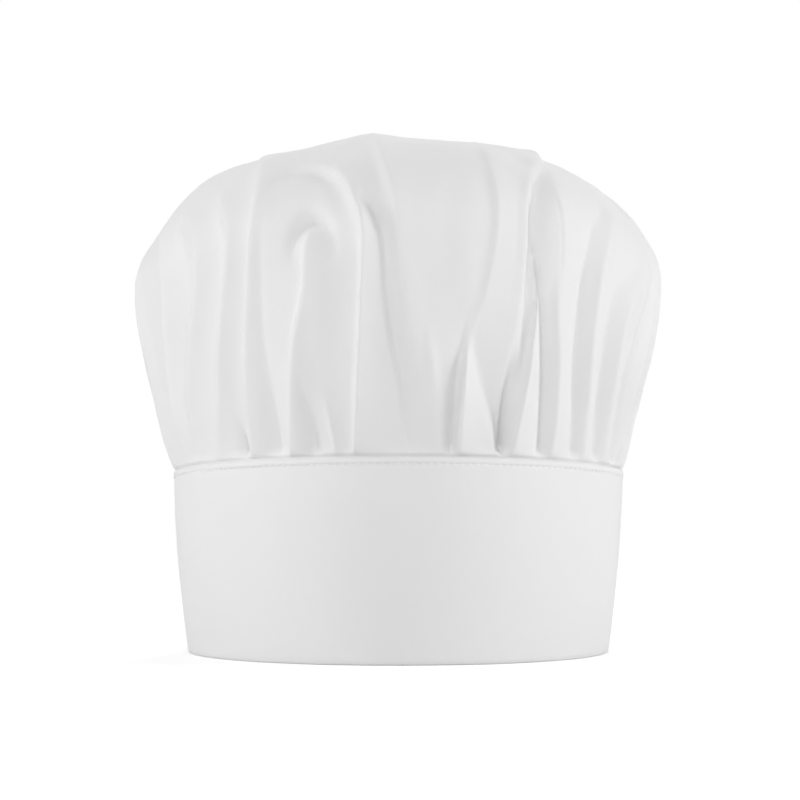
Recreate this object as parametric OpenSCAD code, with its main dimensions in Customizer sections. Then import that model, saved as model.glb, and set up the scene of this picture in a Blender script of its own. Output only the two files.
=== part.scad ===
// Chef toque: a gathered cloth crown on a folded, stiffened band that closes with a hook-and-loop tab.
// The hat stands on its rim at z = 0. Its front faces -Y, and the slit and the tab are at the back, on +Y.
// Angles run anticlockwise seen from above, with the back at 90 degrees.

/* [Band] */
// Outside diameter of the band at the rim
rim_d = 187; // [176:1:200]
// Outside diameter of the band at the crown seam
seam_d = 203; // [196:1:214]
// Height of the band from the rim to the crown seam
band_h = 79; // [60:1:100]
// How the flare bends: 1 is a straight cone, more is upright at the seam
flare_bend = 1.5; // [1:0.1:2]
// Thickness of one layer of the band's cloth
cloth_t = 0.6; // [0.4:0.1:0.8]
// Thickness of the stiffening between the cloth layers
core_t = 0.8; // [0.5:0.1:1.2]
// Air between two layers that lie on each other
ply_gap = 0.1; // [0.05:0.01:0.15]

/* [Crown] */
// Widest diameter of the crown
bulge_d = 238; // [225:1:255]
// Height of the crown's widest place above the rim
bulge_z = 163; // [145:1:175]
// Height of the whole hat
hat_h = 229; // [215:1:250]
// Thickness of the crown's cloth
crown_t = 0.8; // [0.5:0.1:1]
// Depth of the crown's edge that is sewn in between the band's layers
seam_allowance = 10; // [6:1:14]
// Scale of all the folds' depths
fold_scale = 1; // [0.5:0.1:1.3]

/* [Back slit] */
// Gap between the two ends of the band, and width of the slit at the seam
slit_w = 8; // [6:0.5:10]
// Height of the slit above the seam
slit_h = 46; // [30:1:60]
// Width of the tape that binds the slit's edges
binding_w = 5; // [4:0.5:7]
// Thickness of the binding tape
binding_t = 0.5; // [0.4:0.1:0.6]

/* [Closure] */
// Length of the tab from its root to its free end
tab_len = 78; // [70:1:90]
// How far the tab's edges stand inside the band's edges
tab_inset = 0.6; // [0.4:0.1:1.5]
// Gap at the tab's root, where the cloth bends
root_gap = 0.5; // [0.4:0.1:0.8]
// Length over which the tab steps outwards over the other end of the band
step_len = 14; // [12:0.5:18]
// Length of the loop strip on the band
loop_len = 100; // [80:1:120]
// Width of the loop strip
loop_w = 25; // [22:1:30]
// Thickness of the loop strip with its pile
loop_t = 0.8; // [0.6:0.1:1.2]
// Length of the hook strip on the tab
hook_len = 50; // [30:1:52]
// Width of the hook strip
hook_w = 20; // [15:1:20]
// Thickness of the hook strip with its hooks
hook_t = 0.8; // [0.6:0.1:1.2]
// Air between the two strips at rest
strip_gap = 0.8; // [0.7:0.1:1.2]
// Distance of both strips from the end of the cloth that carries them
strip_margin = 5; // [4:0.5:6]

/* [Sewing] */
// Thickness of the sewing thread
thread_d = 0.4; // [0.3:0.05:0.45]
// Distance of the stitching from the cloth's edges
stitch_inset = 3; // [2.5:0.5:4]
// Distance of the stitching from the strips' edges
strip_stitch_inset = 1.8; // [1.5:0.1:2.2]
// Length of the bar of dense stitches at the slit's top
bartack_len = 8; // [6:1:10]
// Thickness of a bar of dense stitches
bartack_d = 1.2; // [1:0.1:1.4]
// Width of the blank label inside the band
label_w = 32; // [20:1:40]
// Height of the label
label_h = 24; // [15:1:30]
// Thickness of the label
label_t = 0.4; // [0.3:0.1:0.5]
// Direction of the label's centre
label_angle = 35; // [20:1:60]

/* [Hidden] */

$fn = 120;
back = 90;                 // direction of the hat's back
eps = 0.01;                // a hair's breadth that keeps two points of an outline apart
face_gap = 0.05;           // air under a thread or a strip that lies on cloth
band_steps = 8;            // straight stretches in the band's flare
fold_round = 0.7;          // rounding of the cloth where the band folds at the rim
pocket = max(core_t, crown_t) + 2 * ply_gap;
band_t = 2 * cloth_t + pocket;
tab_z0 = tab_inset;
tab_z1 = band_h - tab_inset;
core_top = band_h - seam_allowance - 1;

// The band's two ends, as directions. The underlap end lies under the tab.
function arc(len, r) = len / r * 180 / PI;
ring_r = (rim_d + seam_d) / 4;
under_end = back + arc(slit_w / 2, ring_r);
root = back - arc(slit_w / 2, ring_r);
ring_arc = 360 - (under_end - root);

// The closure's layers, as distances out from the band's outer face.
loop_in = face_gap;
loop_out = loop_in + loop_t;
hook_in = loop_out + strip_gap;
hook_out = hook_in + hook_t;
tab_lift = hook_out + face_gap + band_t;

// Radius of the band's outer face at a height.
function band_r(z) = seam_d / 2 - (seam_d - rim_d) / 2 * pow(1 - min(max(z / band_h, 0), 1), flare_bend);
function heights(z0, z1, n = band_steps) = [for (i = [0:n]) z0 + (z1 - z0) * i / n];
// A line along the band's face from z0 to z1, at a depth below the outer face.
function face_line(z0, z1, depth) = [for (z = heights(z0, z1)) [band_r(z) - depth, z]];
function reverse(list) = [for (i = [len(list) - 1:-1:0]) list[i]];
function smooth(x) = let (c = min(max(x, 0), 1)) c * c * (3 - 2 * c);

// A layer that follows the band's face between two heights and two depths.
function layer_outline(z0, z1, d0, d1) = concat(face_line(z0, z1, d0), reverse(face_line(z0, z1, d1)));
// The folded strip of cloth in section: two legs, joined by a rounded fold at the bottom.
function arc_points(centre, r, a0, a1, n = 3) =
    [for (i = [0:n]) let (a = a0 + (a1 - a0) * i / n) centre + r * [cos(a), sin(a)]];
function strip_outline(z0, z1) =
    let (r0 = band_r(z0 + fold_round))
    concat(arc_points([r0 - fold_round, z0 + fold_round], fold_round, -90, 0),
           face_line(z0 + fold_round + eps, z1, 0),
           reverse(face_line(z0 + cloth_t, z1, cloth_t)),
           face_line(z0 + cloth_t, z1, band_t - cloth_t),
           reverse(face_line(z0 + fold_round + eps, z1, band_t)),
           arc_points([r0 - band_t + fold_round, z0 + fold_round], fold_round, 180, 270));

// A flattened loop of cloth in section, with its long edges rounded.
function tab_outline(z0, z1, d, r) =
    let (r0 = band_r(z0 + r) - d, r1 = band_r(z1 - r) - d, t = band_t - 2 * d)
    concat(arc_points([r0 - r, z0 + r], r, -90, 0),
           face_line(z0 + r + eps, z1 - r - eps, d),
           arc_points([r1 - r, z1 - r], r, 0, 90),
           arc_points([r1 - t + r, z1 - r], r, 90, 180),
           reverse(face_line(z0 + r + eps, z1 - r - eps, d + t)),
           arc_points([r0 - t + r, z0 + r], r, 180, 270));

module turned(a0, a1) { rotate([0, 0, a0]) rotate_extrude(angle = a1 - a0) children(); }
module layer(z0, z1, d0, d1, a0, a1) { turned(a0, a1) polygon(layer_outline(z0, z1, d0, d1)); }

// ---- sweeps along a curved path ----

// Faces round n rings of m points each, numbered from a first point.
function side_faces(n, m, first = 0, closed = false) = [for (i = [0:closed ? n - 1 : n - 2], j = [0:m - 1])
    let (p = first + i * m, q = first + ((i + 1) % n) * m, k = (j + 1) % m)
    each [[p + j, p + k, q + k], [p + j, q + k, q + j]]];
function flipped(faces) = [for (f = faces) reverse(f)];
function ring(m, first = 0) = [for (j = [0:m - 1]) first + j];
function ring_faces(n, m, closed) = concat(side_faces(n, m, 0, closed),
    closed ? [] : [reverse(ring(m)), ring(m, (n - 1) * m)]);

function unit(v) = v / norm(v);
function path_tangent(p, i, closed) = let (n = len(p))
    unit(closed ? p[(i + 1) % n] - p[(i + n - 1) % n] : p[min(i + 1, n - 1)] - p[max(i - 1, 0)]);

// A round thread along a path on a turned surface. The path's points each have their outward direction.
module thread(path, outward, d = thread_d, closed = false, sides = 6) {
    n = len(path);
    points = [for (i = [0:n - 1])
        let (t = path_tangent(path, i, closed), side = unit(cross(t, outward[i])), up = cross(side, t))
        for (j = [0:sides - 1]) path[i] + d / 2 * (cos(j * 360 / sides) * up + sin(j * 360 / sides) * side)];
    polyhedron(points, ring_faces(n, sides, closed));
}

function radial(a) = [cos(a), sin(a), 0];

// ---- crown ----

crown_edge_r = seam_d / 2 - cloth_t - ply_gap;  // outside of the crown where it leaves the band
bulge_r = bulge_d / 2;
crown_cols = 144;
// Places up the crown: 0 at the seam, 1 at the widest place, 2 at the top.
crown_places = [0, 0.04, 0.1, 0.18, 0.28, 0.4, 0.54, 0.68, 0.84,
                1, 1.1, 1.22, 1.34, 1.46, 1.58, 1.7, 1.82, 1.92];
lower_bend = 1.4;  // how soon the crown's side leans out above the seam
slit_top = slit_h / (bulge_z - band_h);  // the slit's top as a place
turn_rise = 1.2;  // how far above the slit's top the binding turns across, in widths of the binding

// Outline of the smooth crown at a place, with its outward direction in the same plane.
function crown_point(w) = w < 1
    ? [bulge_r - (bulge_r - crown_edge_r) * pow(1 - w, lower_bend), band_h + (bulge_z - band_h) * w]
    : [bulge_r * cos((w - 1) * 90), bulge_z + (hat_h - bulge_z) * sin((w - 1) * 90)];
function crown_outward(w) = w < 1
    ? [1, 0]
    : unit([cos((w - 1) * 90) / bulge_r, sin((w - 1) * 90) / (hat_h - bulge_z)]);

// Folds. Each has its direction from the front centre at the seam, at the widest place and at its top,
// with the wearer's left as positive. Then come the place of its top and its depth in mm, and last the
// widths in mm of its slope towards the front and of its slope away from it.
front_folds = [
    [-52, -45, -54, 1.25, 2.5, 12, 5],
    [-42, -35, -42, 1.35, 3.0, 11, 5],
    [-36, -29.5, -38, 1.50, 4.0, 9, 5],
    [-25, -18.5, -18, 0.98, 3.5, 9, 5],
    [-10, -7.5, -22, 1.50, 4.0, 13, 5],
    [1, -5, -8, 1.70, 3.5, 8, 7],
    [10.5, 5, 0, 1.20, 2.5, 11, 5],
    [17, 14, 13, 0.60, 3.0, 6, 6],
    [33, 27, 36, 1.55, 4.0, 16, 6],
    [43, 38.5, 46, 1.35, 3.5, 6, 7],
    [53, 49, 56, 1.20, 3.5, 6, 7],
    [62, 61, 64, 1.15, 3.0, 6, 7]];
// Round the sides and the back the folds follow each other by a rule, uneven in place, height and depth.
first_side = 74;
side_count = 18;
side_folds = [for (i = [0:side_count - 1])
    let (a = first_side + (287 - first_side) * i / (side_count - 1) + 2.2 * sin(i * 137))
    [a, a + 3 * sin(i * 71), a + 7 * sin(i * 53), 1.35 + 0.25 * sin(i * 97), 3.2 + 0.9 * cos(i * 61), 11, 6]];
folds = concat(front_folds, side_folds);
fold_rise = 0.08;   // the place by which a fold has its whole depth above the seam
fold_fade = 0.35;   // the stretch of places over which a fold dies out at its top
valley = 1.6;       // how far the cloth lies inside the smooth crown between folds

// Difference of two directions, from -180 to 180.
function turn(a) = a - 360 * round(a / 360);
function fold_line(f, w) = w < 1
    ? f[0] + (f[1] - f[0]) * smooth(w)
    : f[1] + (f[2] - f[1]) * (w - 1) / max(f[3] - 1, 0.1);
function fold_height(f, a, w, r) =
    let (away = abs(f[1]) > 180 ? -1 : sign(f[1]),
         d = away * turn(a - fold_line(f, w)) * PI / 180 * r,
         s = d < 0 ? f[5] : f[6])
    f[4] * exp(-d * d / (s * s)) * (1 - smooth((w - f[3]) / fold_fade));
// The cloth is smooth beside the slit, where the binding holds it.
function calm(a, w) =
    1 - (1 - smooth((abs(turn(a - 180)) - 6) / 8)) * (1 - smooth((w - slit_top - 0.1) / 0.3));
function crown_lift(a, w, r) = w <= 0 ? 0
    : let (ridge = max([for (f = folds) fold_height(f, a, w, r)]))
    fold_scale * smooth(w / fold_rise) * calm(a, w) * (ridge - valley * (1 - smooth((w - 1.3) / 0.5)));

// A ring of the crown's surface at a place, at a depth below its outside.
function crown_ring(w, depth) = let (p = crown_point(w), n = crown_outward(w))
    [for (c = [0:crown_cols - 1])
        let (a = 360 * c / crown_cols, h = crown_lift(a, w, p[0]) - depth, q = p + h * n)
        [q[0] * sin(a), -q[0] * cos(a), q[1]]];
// The crown's sewn-in edge follows the band's flare inside the pocket.
function seam_ring(depth) = let (z = band_h - seam_allowance, r = band_r(z) - cloth_t - ply_gap - depth)
    [for (c = [0:crown_cols - 1]) let (a = 360 * c / crown_cols) [r * sin(a), -r * cos(a), z]];
function crown_surface(depth) = concat(seam_ring(depth), [for (w = crown_places) each crown_ring(w, depth)]);

module crown_shell() {
    m = crown_cols;
    rings = len(crown_places) + 1;
    outer = crown_surface(0);
    inner = crown_surface(crown_t);
    top = [[0, 0, hat_h], [0, 0, hat_h - crown_t]];
    base = rings * m;
    apex = 2 * base;
    polyhedron(concat(outer, inner, top), concat(
        [for (i = [0:rings - 2], j = [0:m - 1]) let (k = (j + 1) % m) each [
            [i * m + j, (i + 1) * m + j, (i + 1) * m + k], [i * m + j, (i + 1) * m + k, i * m + k],
            [base + i * m + j, base + (i + 1) * m + k, base + (i + 1) * m + j],
            [base + i * m + j, base + i * m + k, base + (i + 1) * m + k]]],
        [for (j = [0:m - 1]) let (k = (j + 1) % m, o = (rings - 1) * m) each [
            [o + j, apex, o + k], [base + o + j, base + o + k, apex + 1],
            [j, k, base + j], [k, base + k, base + j]]]));
}

// The slit is an inverted V over the gap between the band's ends. grow widens it on all sides.
module slit_prism(grow) {
    lean = atan(slit_w / 2 / slit_h);
    foot = slit_w / 2 + grow / cos(lean);
    low = band_h - seam_allowance - 1;
    apex_z = band_h + slit_h + grow / sin(lean);
    rotate([90, 0, 0]) translate([0, 0, -bulge_d]) linear_extrude(bulge_d)
        polygon([[-foot, low], [foot, low], [foot, band_h], [0, apex_z], [-foot, band_h]]);
}

module crown() {
    color("#e9e9ea") difference() {
        crown_shell();
        slit_prism(0);
    }
}

// ---- band ----

module band_cloth() {
    color("#e6e6e7") union() {
        turned(under_end, under_end + ring_arc) polygon(strip_outline(0, band_h));
        // The strip's end is turned in and closes the pocket.
        layer(cloth_t / 2, core_top, cloth_t / 2, band_t - cloth_t / 2,
            under_end, under_end + arc(cloth_t, ring_r));
    }
}

module band_interlining() {
    inset = arc(cloth_t + ply_gap, ring_r);
    color("#f2f0e8") layer(cloth_t + ply_gap, core_top, cloth_t + ply_gap, cloth_t + ply_gap + core_t,
        under_end + inset, under_end + ring_arc);
}

module seam_topstitch() {
    inset = arc(1, ring_r);
    z = band_h - stitch_inset;
    lift = face_gap + thread_d / 2;
    color("#f4f4f4") turned(under_end + inset, under_end + ring_arc - inset) {
        translate([band_r(z) + lift, z]) circle(d = thread_d, $fn = 16);
        translate([band_r(z) - band_t - lift, z]) circle(d = thread_d, $fn = 16);
    }
}

// Points of a stitching line that stands on the band's face, lift above it.
function face_point(a, z, lift) = (band_r(z) + lift) * radial(a) + [0, 0, z];
function box_corners(a0, a1, z0, z1, n = 16, m = 6) = concat(
    [for (i = [0:n]) [a0 + (a1 - a0) * i / n, z0]],
    [for (i = [1:m - 1]) [a1, z0 + (z1 - z0) * i / m]],
    [for (i = [0:n]) [a1 + (a0 - a1) * i / n, z1]],
    [for (i = [1:m - 1]) [a0, z1 + (z0 - z1) * i / m]]);

// A thread along a line of stitching, whose points are a direction and a height.
module face_thread(line, lift, closed = false) {
    path = [for (p = line) face_point(p[0], p[1], lift)];
    color("#f4f4f4") thread(path, [for (p = line) radial(p[0])], closed = closed);
}

module underlap_stitching() {
    a = under_end + arc(stitch_inset, ring_r);
    line = [for (z = heights(stitch_inset, band_h - 2 * stitch_inset)) [a, z]];
    face_thread(line, face_gap + thread_d / 2);
}

// ---- closure ----

strip_mid = band_h / 2;
loop_a0 = under_end + arc(strip_margin, ring_r);
loop_a1 = loop_a0 + arc(loop_len, ring_r);
tab_end = root + arc(tab_len, ring_r);
hook_a1 = tab_end - arc(strip_margin, ring_r);
hook_a0 = hook_a1 - arc(hook_len, ring_r);

module loop_strip() {
    color("#ececec") layer(strip_mid - loop_w / 2, strip_mid + loop_w / 2, -loop_out, -loop_in,
        loop_a0, loop_a1);
}

module strip_stitching(a0, a1, w, lift) {
    inset = arc(strip_stitch_inset, ring_r);
    half_w = w / 2 - strip_stitch_inset;
    line = box_corners(a0 + inset, a1 - inset, strip_mid - half_w, strip_mid + half_w);
    face_thread(line, lift, closed = true);
}

module loop_strip_stitching() {
    strip_stitching(loop_a0, loop_a1, loop_w, loop_out + face_gap + thread_d / 2);
}

module hook_strip() {
    color("#e8e8e8") layer(strip_mid - hook_w / 2, strip_mid + hook_w / 2, -hook_out, -hook_in,
        hook_a0, hook_a1);
}

module hook_strip_stitching() {
    strip_stitching(hook_a0, hook_a1, hook_w, hook_in - face_gap - thread_d / 2);
}

// How far the tab has stepped out at a direction.
function tab_step(a) = tab_lift * smooth((a - root) / arc(step_len, ring_r));
tab_root = root + arc(root_gap, ring_r);
tab_steps = 26;

function tab_points(outline, a0, a1) = [for (i = [0:tab_steps]) let (a = a0 + (a1 - a0) * i / tab_steps)
    for (p = outline) (p[0] + tab_step(a)) * radial(a) + [0, 0, p[1]]];

// The tab's cloth is closed on three sides. Its root is open towards the band that it carries on from.
module tab_cloth() {
    outer = tab_outline(tab_z0, tab_z1, 0, fold_round);
    inner = tab_outline(tab_z0 + cloth_t, tab_z1 - cloth_t, cloth_t, 0.2);
    m = len(outer);
    n = tab_steps + 1;
    inner_end = tab_end - arc(cloth_t, ring_r);
    color("#e6e6e7") polyhedron(
        concat(tab_points(outer, tab_root, tab_end), tab_points(inner, tab_root, inner_end)),
        concat(side_faces(n, m), flipped(side_faces(n, m, n * m)),
            [for (j = [0:m - 1]) let (k = (j + 1) % m) each [[k, j, n * m + j], [k, n * m + j, n * m + k]]],
            [ring(m, (n - 1) * m), reverse(ring(m, (2 * n - 1) * m))]));
}

module tab_interlining() {
    inset = cloth_t + ply_gap;
    outline = layer_outline(tab_z0 + inset, tab_z1 - inset, inset, inset + core_t);
    points = tab_points(outline, tab_root + arc(root_gap, ring_r), tab_end - arc(inset, ring_r));
    color("#f2f0e8") polyhedron(points, ring_faces(tab_steps + 1, len(outline), false));
}

module tab_edge_stitching() {
    turns = [for (i = [3:tab_steps - 1]) tab_root + (tab_end - tab_root) * i / tab_steps];
    z0 = tab_z0 + stitch_inset;
    z1 = tab_z1 - stitch_inset;
    m = 6;
    line = concat([for (a = turns) [a, z0]],
                  [for (i = [1:m - 1]) [turns[len(turns) - 1], z0 + (z1 - z0) * i / m]],
                  [for (a = reverse(turns)) [a, z1]]);
    lift = 2 * face_gap + thread_d / 2;
    path = [for (p = line) face_point(p[0], p[1], lift + tab_step(p[0]))];
    color("#f4f4f4") thread(path, [for (p = line) radial(p[0])]);
}

// ---- slit ----

// The smooth crown round the slit, thickened to a skin between two distances out from the cloth's outside.
module crown_skin(in, out) {
    line = [for (w = crown_places) if (w < 1) crown_point(w)];
    turned(back - 15, back + 15) polygon(concat(
        [for (p = line) p + [out, 0]], reverse([for (p = line) p + [in, 0]])));
}

module slit_binding() {
    wrap = face_gap + binding_t;
    color("#e4e4e5") difference() {
        intersection() {
            crown_skin(-crown_t - wrap, wrap);
            slit_prism(binding_w);
            // The tape starts on top of the band and turns across above the slit's top.
            translate([0, 0, band_h + face_gap]) cylinder(h = slit_h + turn_rise * binding_w, r = bulge_d);
        }
        slit_prism(-wrap);
        difference() {
            crown_skin(-crown_t - face_gap, face_gap);
            slit_prism(-face_gap);
        }
    }
}

// A point on the slit's side, out from its edge by a distance. t runs from -1 at one foot to 1 at the other.
slit_line_z0 = band_h + 1;
function slit_point(t, out, lift) =
    let (lean = atan(slit_w / 2 / slit_h), apex_z = band_h + slit_h + out / sin(lean),
         bend_z = band_h + slit_h + out * turn_rise,
         z = slit_line_z0 + (bend_z - slit_line_z0) * (1 - abs(t)),
         x = -sign(t) * (apex_z - z) * tan(lean) * (abs(t) < 0.001 ? 0 : 1),
         r = crown_r(z) + lift)
    [x, sqrt(r * r - x * x), z];
function crown_r(z) = crown_point((z - band_h) / (bulge_z - band_h))[0];

module slit_binding_stitching() {
    lift = 2 * face_gap + binding_t + thread_d / 2;
    line = [for (i = [-12:12]) slit_point(i / 12, binding_w - 1, lift)];
    color("#f4f4f4") thread(line, [for (p = line) unit([p[0], p[1], 0])]);
}

module slit_bartack() {
    z = band_h + slit_h + 1;
    lift = 2 * face_gap + binding_t + thread_d + face_gap + bartack_d / 2;
    half = arc(bartack_len / 2, crown_r(z));
    line = [for (i = [-4:4]) let (a = back + half * i / 4) (crown_r(z) + lift) * radial(a) + [0, 0, z]];
    color("#f4f4f4") thread(line, [for (p = line) unit([p[0], p[1], 0])], d = bartack_d, sides = 8);
}

label_z1 = band_h - stitch_inset - thread_d - 0.4;  // just under the stitching along the seam
label_in = band_t + 2 * face_gap;
label_half = label_w / 2;

module care_label() {
    half = arc(label_half, ring_r);
    color("#f6f6f6") layer(label_z1 - label_h, label_z1, label_in, label_in + label_t,
        back + label_angle - half, back + label_angle + half);
}

module care_label_stitching() {
    half = arc(label_half - strip_stitch_inset, ring_r);
    line = box_corners(back + label_angle - half, back + label_angle + half,
        label_z1 - label_h + strip_stitch_inset, label_z1 - strip_stitch_inset);
    face_thread(line, -label_in - label_t - 2 * face_gap - thread_d / 2, closed = true);
}

crown();
band_cloth();
band_interlining();
seam_topstitch();
underlap_stitching();
loop_strip();
loop_strip_stitching();
tab_cloth();
tab_interlining();
tab_edge_stitching();
hook_strip();
hook_strip_stitching();
slit_binding();
slit_binding_stitching();
slit_bartack();
care_label();
care_label_stitching();
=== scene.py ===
# %% [markdown]
# # A chef's toque
#
# A chef's toque is two pieces of white twill and a stiffener. A big flat disc of cloth is
# drawn in at its edge until it fits a ring, which is what makes the folds, and the ring is a
# long strip folded over stiff interlining so that it stands up. The strip's two ends overlap
# at the back and close with hook-and-loop tape.
#
# The CAD part gives the sizes, the hinge and the places. This scene dresses it in cloth.

# %% Load the part
import math

import bmesh
import bpy
import numpy as np
from mathutils import Matrix, Vector, noise


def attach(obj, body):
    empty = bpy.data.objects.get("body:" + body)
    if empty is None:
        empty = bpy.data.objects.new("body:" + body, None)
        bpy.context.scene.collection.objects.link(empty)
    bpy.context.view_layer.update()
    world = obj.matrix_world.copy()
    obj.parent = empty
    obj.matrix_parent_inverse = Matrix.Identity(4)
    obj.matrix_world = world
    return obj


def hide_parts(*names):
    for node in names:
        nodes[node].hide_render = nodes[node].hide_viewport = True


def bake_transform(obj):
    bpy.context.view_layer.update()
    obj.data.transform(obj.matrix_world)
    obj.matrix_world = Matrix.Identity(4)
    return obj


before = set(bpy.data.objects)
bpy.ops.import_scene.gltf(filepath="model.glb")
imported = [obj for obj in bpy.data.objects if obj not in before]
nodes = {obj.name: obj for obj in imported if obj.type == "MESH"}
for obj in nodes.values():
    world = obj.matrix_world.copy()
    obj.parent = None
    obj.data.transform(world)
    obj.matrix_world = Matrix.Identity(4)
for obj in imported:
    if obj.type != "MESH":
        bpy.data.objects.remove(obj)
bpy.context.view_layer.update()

MM = 0.001
MERGE = 0.02 * MM     # vertices nearer than this are one

# %% [markdown]
# ## The sizes that the cloth follows
#
# The band is a slightly curved flare, and the crown is a bulging wall under a flat dome.
# They are turned shapes, so a radius for each height says it all. It could be measured off
# the CAD meshes, but two formulas with the same sizes give it at any height. A height along
# the cloth, called rise here, runs on over the dome's arc, so folds can be placed by it.

# %% Sizes in millimetres
RIM_R, SEAM_R, BAND_H, FLARE = 93.5, 101.5, 79.0, 1.5     # the band's two radii, its height and its curve
CLOTH, PLY_GAP, POCKET = 0.6, 0.1, 1.0     # the band's cloth, the air between layers, the stiffener's room
BAND_T = 2 * CLOTH + POCKET
BULGE_R, BULGE_Z, HAT_H, LEAN = 119.0, 163.0, 229.0, 1.4     # the crown's widest place, its top, its curve
CROWN_T = 0.8         # the crown's cloth
CROWN_EDGE_R = SEAM_R - CLOTH - PLY_GAP
ALLOWANCE = 10.0      # how far the crown's edge goes down inside the band
SLIT_W, SLIT_H = 8.0, 46.0
RING_R = (RIM_R + SEAM_R) / 2     # where lengths along the band are measured
ROOT = 90 - math.degrees(SLIT_W / 2 / RING_R)          # the direction of the tab's root, in degrees
UNDER_END = 90 + math.degrees(SLIT_W / 2 / RING_R)     # and that of the band's other end


def along_band(length):
    """The angle, in degrees, that a length along the band takes up."""
    return math.degrees(length / RING_R)


def band_radius(z):
    """The radius of the band's outer face at a height, both in mm."""
    up = np.clip(np.asarray(z, float) / BAND_H, 0, 1)
    return SEAM_R - (SEAM_R - RIM_R) * (1 - up) ** FLARE


print("band:", 2 * RIM_R, "mm at the rim,", 2 * SEAM_R, "mm at the seam")

# %% The crown's outline by rise
DOME_STEPS = 400
dome_turn = np.linspace(0, math.pi / 2, DOME_STEPS)
dome_r = BULGE_R * np.cos(dome_turn)
dome_z = BULGE_Z + (HAT_H - BULGE_Z) * np.sin(dome_turn)
dome_rise = BULGE_Z + np.concatenate([[0], np.cumsum(np.hypot(np.diff(dome_r), np.diff(dome_z)))])
TOP_RISE = float(dome_rise[-1])


def crown_outline(rise):
    """Radius and height of the smooth crown at each rise, in mm."""
    rise = np.asarray(rise, float)
    up = np.clip((rise - BAND_H) / (BULGE_Z - BAND_H), 0, 1)
    wall = BULGE_R - (BULGE_R - CROWN_EDGE_R) * (1 - up) ** LEAN
    tucked = band_radius(rise) - CLOTH - PLY_GAP
    r = np.where(rise < BULGE_Z, np.where(rise < BAND_H, tucked, wall), np.interp(rise, dome_rise, dome_r))
    z = np.where(rise < BULGE_Z, rise, np.interp(rise, dome_rise, dome_z))
    return r, z


print("the dome adds", round(TOP_RISE - BULGE_Z, 1), "mm of cloth above the widest place")

# %% [markdown]
# ## Small helpers
#
# A sheet of cloth could be built from lists of points and faces, but an operator makes a
# flat grid in one line, and its vertices are then moved to where the cloth lies. A piece is
# made in its place in metres, so its object stays at the origin, unturned.

# %% Helpers
def smooth_step(x):
    """The smooth S from 0 to 1."""
    x = np.clip(x, 0, 1)
    return x * x * (3 - 2 * x)


def new_piece(name, shape, material, smooth=True):
    """Turns a bmesh into a piece of the scene, in place."""
    mesh = bpy.data.meshes.new(name)
    shape.to_mesh(mesh)
    shape.free()
    mesh.materials.append(material)
    for face in mesh.polygons:
        face.use_smooth = smooth
    piece = bpy.data.objects.new(name, mesh)
    bpy.context.scene.collection.objects.link(piece)
    return piece


def flat_cloth(columns, rows):
    """A flat grid of cloth, with each vertex's column and row as arrays."""
    shape = bmesh.new()
    bmesh.ops.create_grid(shape, x_segments=columns, y_segments=rows, size=1.0)
    flat = np.array([v.co[:] for v in shape.verts])
    column = np.rint((flat[:, 0] + 1) / 2 * columns).astype(int)
    row = np.rint((flat[:, 1] + 1) / 2 * rows).astype(int)
    return shape, column, row


def move_to(shape, points_mm):
    """Moves each vertex of a shape to its own point."""
    for vert, point in zip(shape.verts, np.asarray(points_mm) * MM):
        vert.co = point


def lay_weave(shape, places_mm):
    """A UV map in metres, from each vertex's place on the flat cloth."""
    uv = shape.loops.layers.uv.new("cloth")
    shape.verts.index_update()
    places = [tuple(p) for p in np.asarray(places_mm) * MM]
    for face in shape.faces:
        for loop in face.loops:
            loop[uv].uv = places[loop.vert.index]


def flat_ends(piece, *ends):
    """Keeps the faces at a strip's ends flat, so that the cut edge doesn't shade the face beside it."""
    turn = np.array([math.degrees(math.atan2(v.co.y, v.co.x)) for v in piece.data.vertices])
    is_end = np.any([np.abs(turn - end) < 0.01 for end in ends], axis=0)
    for face in piece.data.polygons:
        if any(is_end[i] for i in face.vertices):
            face.use_smooth = False


def thicken(piece, thickness):
    """Gives a sheet its thickness, in mm, on its inner side."""
    wall = piece.modifiers.new("cloth thickness", "SOLIDIFY")
    wall.thickness = thickness * MM
    wall.offset = -1.0
    wall.use_even_offset = False


def pick_verts(shape, chosen):
    """The vertices of a shape for which an array says yes."""
    shape.verts.ensure_lookup_table()
    return [shape.verts[int(i)] for i in np.flatnonzero(chosen)]


# %% [markdown]
# ## Materials
#
# The cloth is a 65/35 poly-cotton twill of about 200 g per square metre, bleached and
# pressed. Its surface is matt with a faint nap, and diagonal ridges run over it. The crown is
# a single layer, so a little light comes through it. The folded band is opaque. The weave
# could be an image, but ridges that are worked out on each piece's own UV map keep their real
# size and turn with the cloth.

# %% Colours and shader nodes
def linear(hex_colour):
    """An sRGB hex value as linear red, green, blue and alpha."""
    parts = [int(hex_colour[i:i + 2], 16) / 255 for i in (1, 3, 5)]
    return tuple(c / 12.92 if c <= 0.04045 else ((c + 0.055) / 1.055) ** 2.4 for c in parts) + (1.0,)


def shade(hex_colour, by):
    """A hex colour with its values scaled down."""
    return "#" + "".join(f"{round(int(hex_colour[i:i + 2], 16) * by):02X}" for i in (1, 3, 5))


def live(sockets, name=None):
    """The first of a node's sockets that is in use, by name if one is given."""
    return next(s for s in sockets if s.enabled and name in (None, s.name))


def add_node(tree, kind, inputs=None, **settings):
    """Adds a shader node with its settings. An input is given a value, or another node's output to link."""
    node = tree.nodes.new(kind)
    for name, value in settings.items():
        setattr(node, name, value)
    for name, value in (inputs or {}).items():
        socket = node.inputs[name] if isinstance(name, int) else live(node.inputs, name)
        if isinstance(value, bpy.types.NodeSocket):
            tree.links.new(value, socket)
        elif isinstance(value, bpy.types.Node):
            tree.links.new(live(value.outputs), socket)
        else:
            socket.default_value = value
    return node


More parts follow.
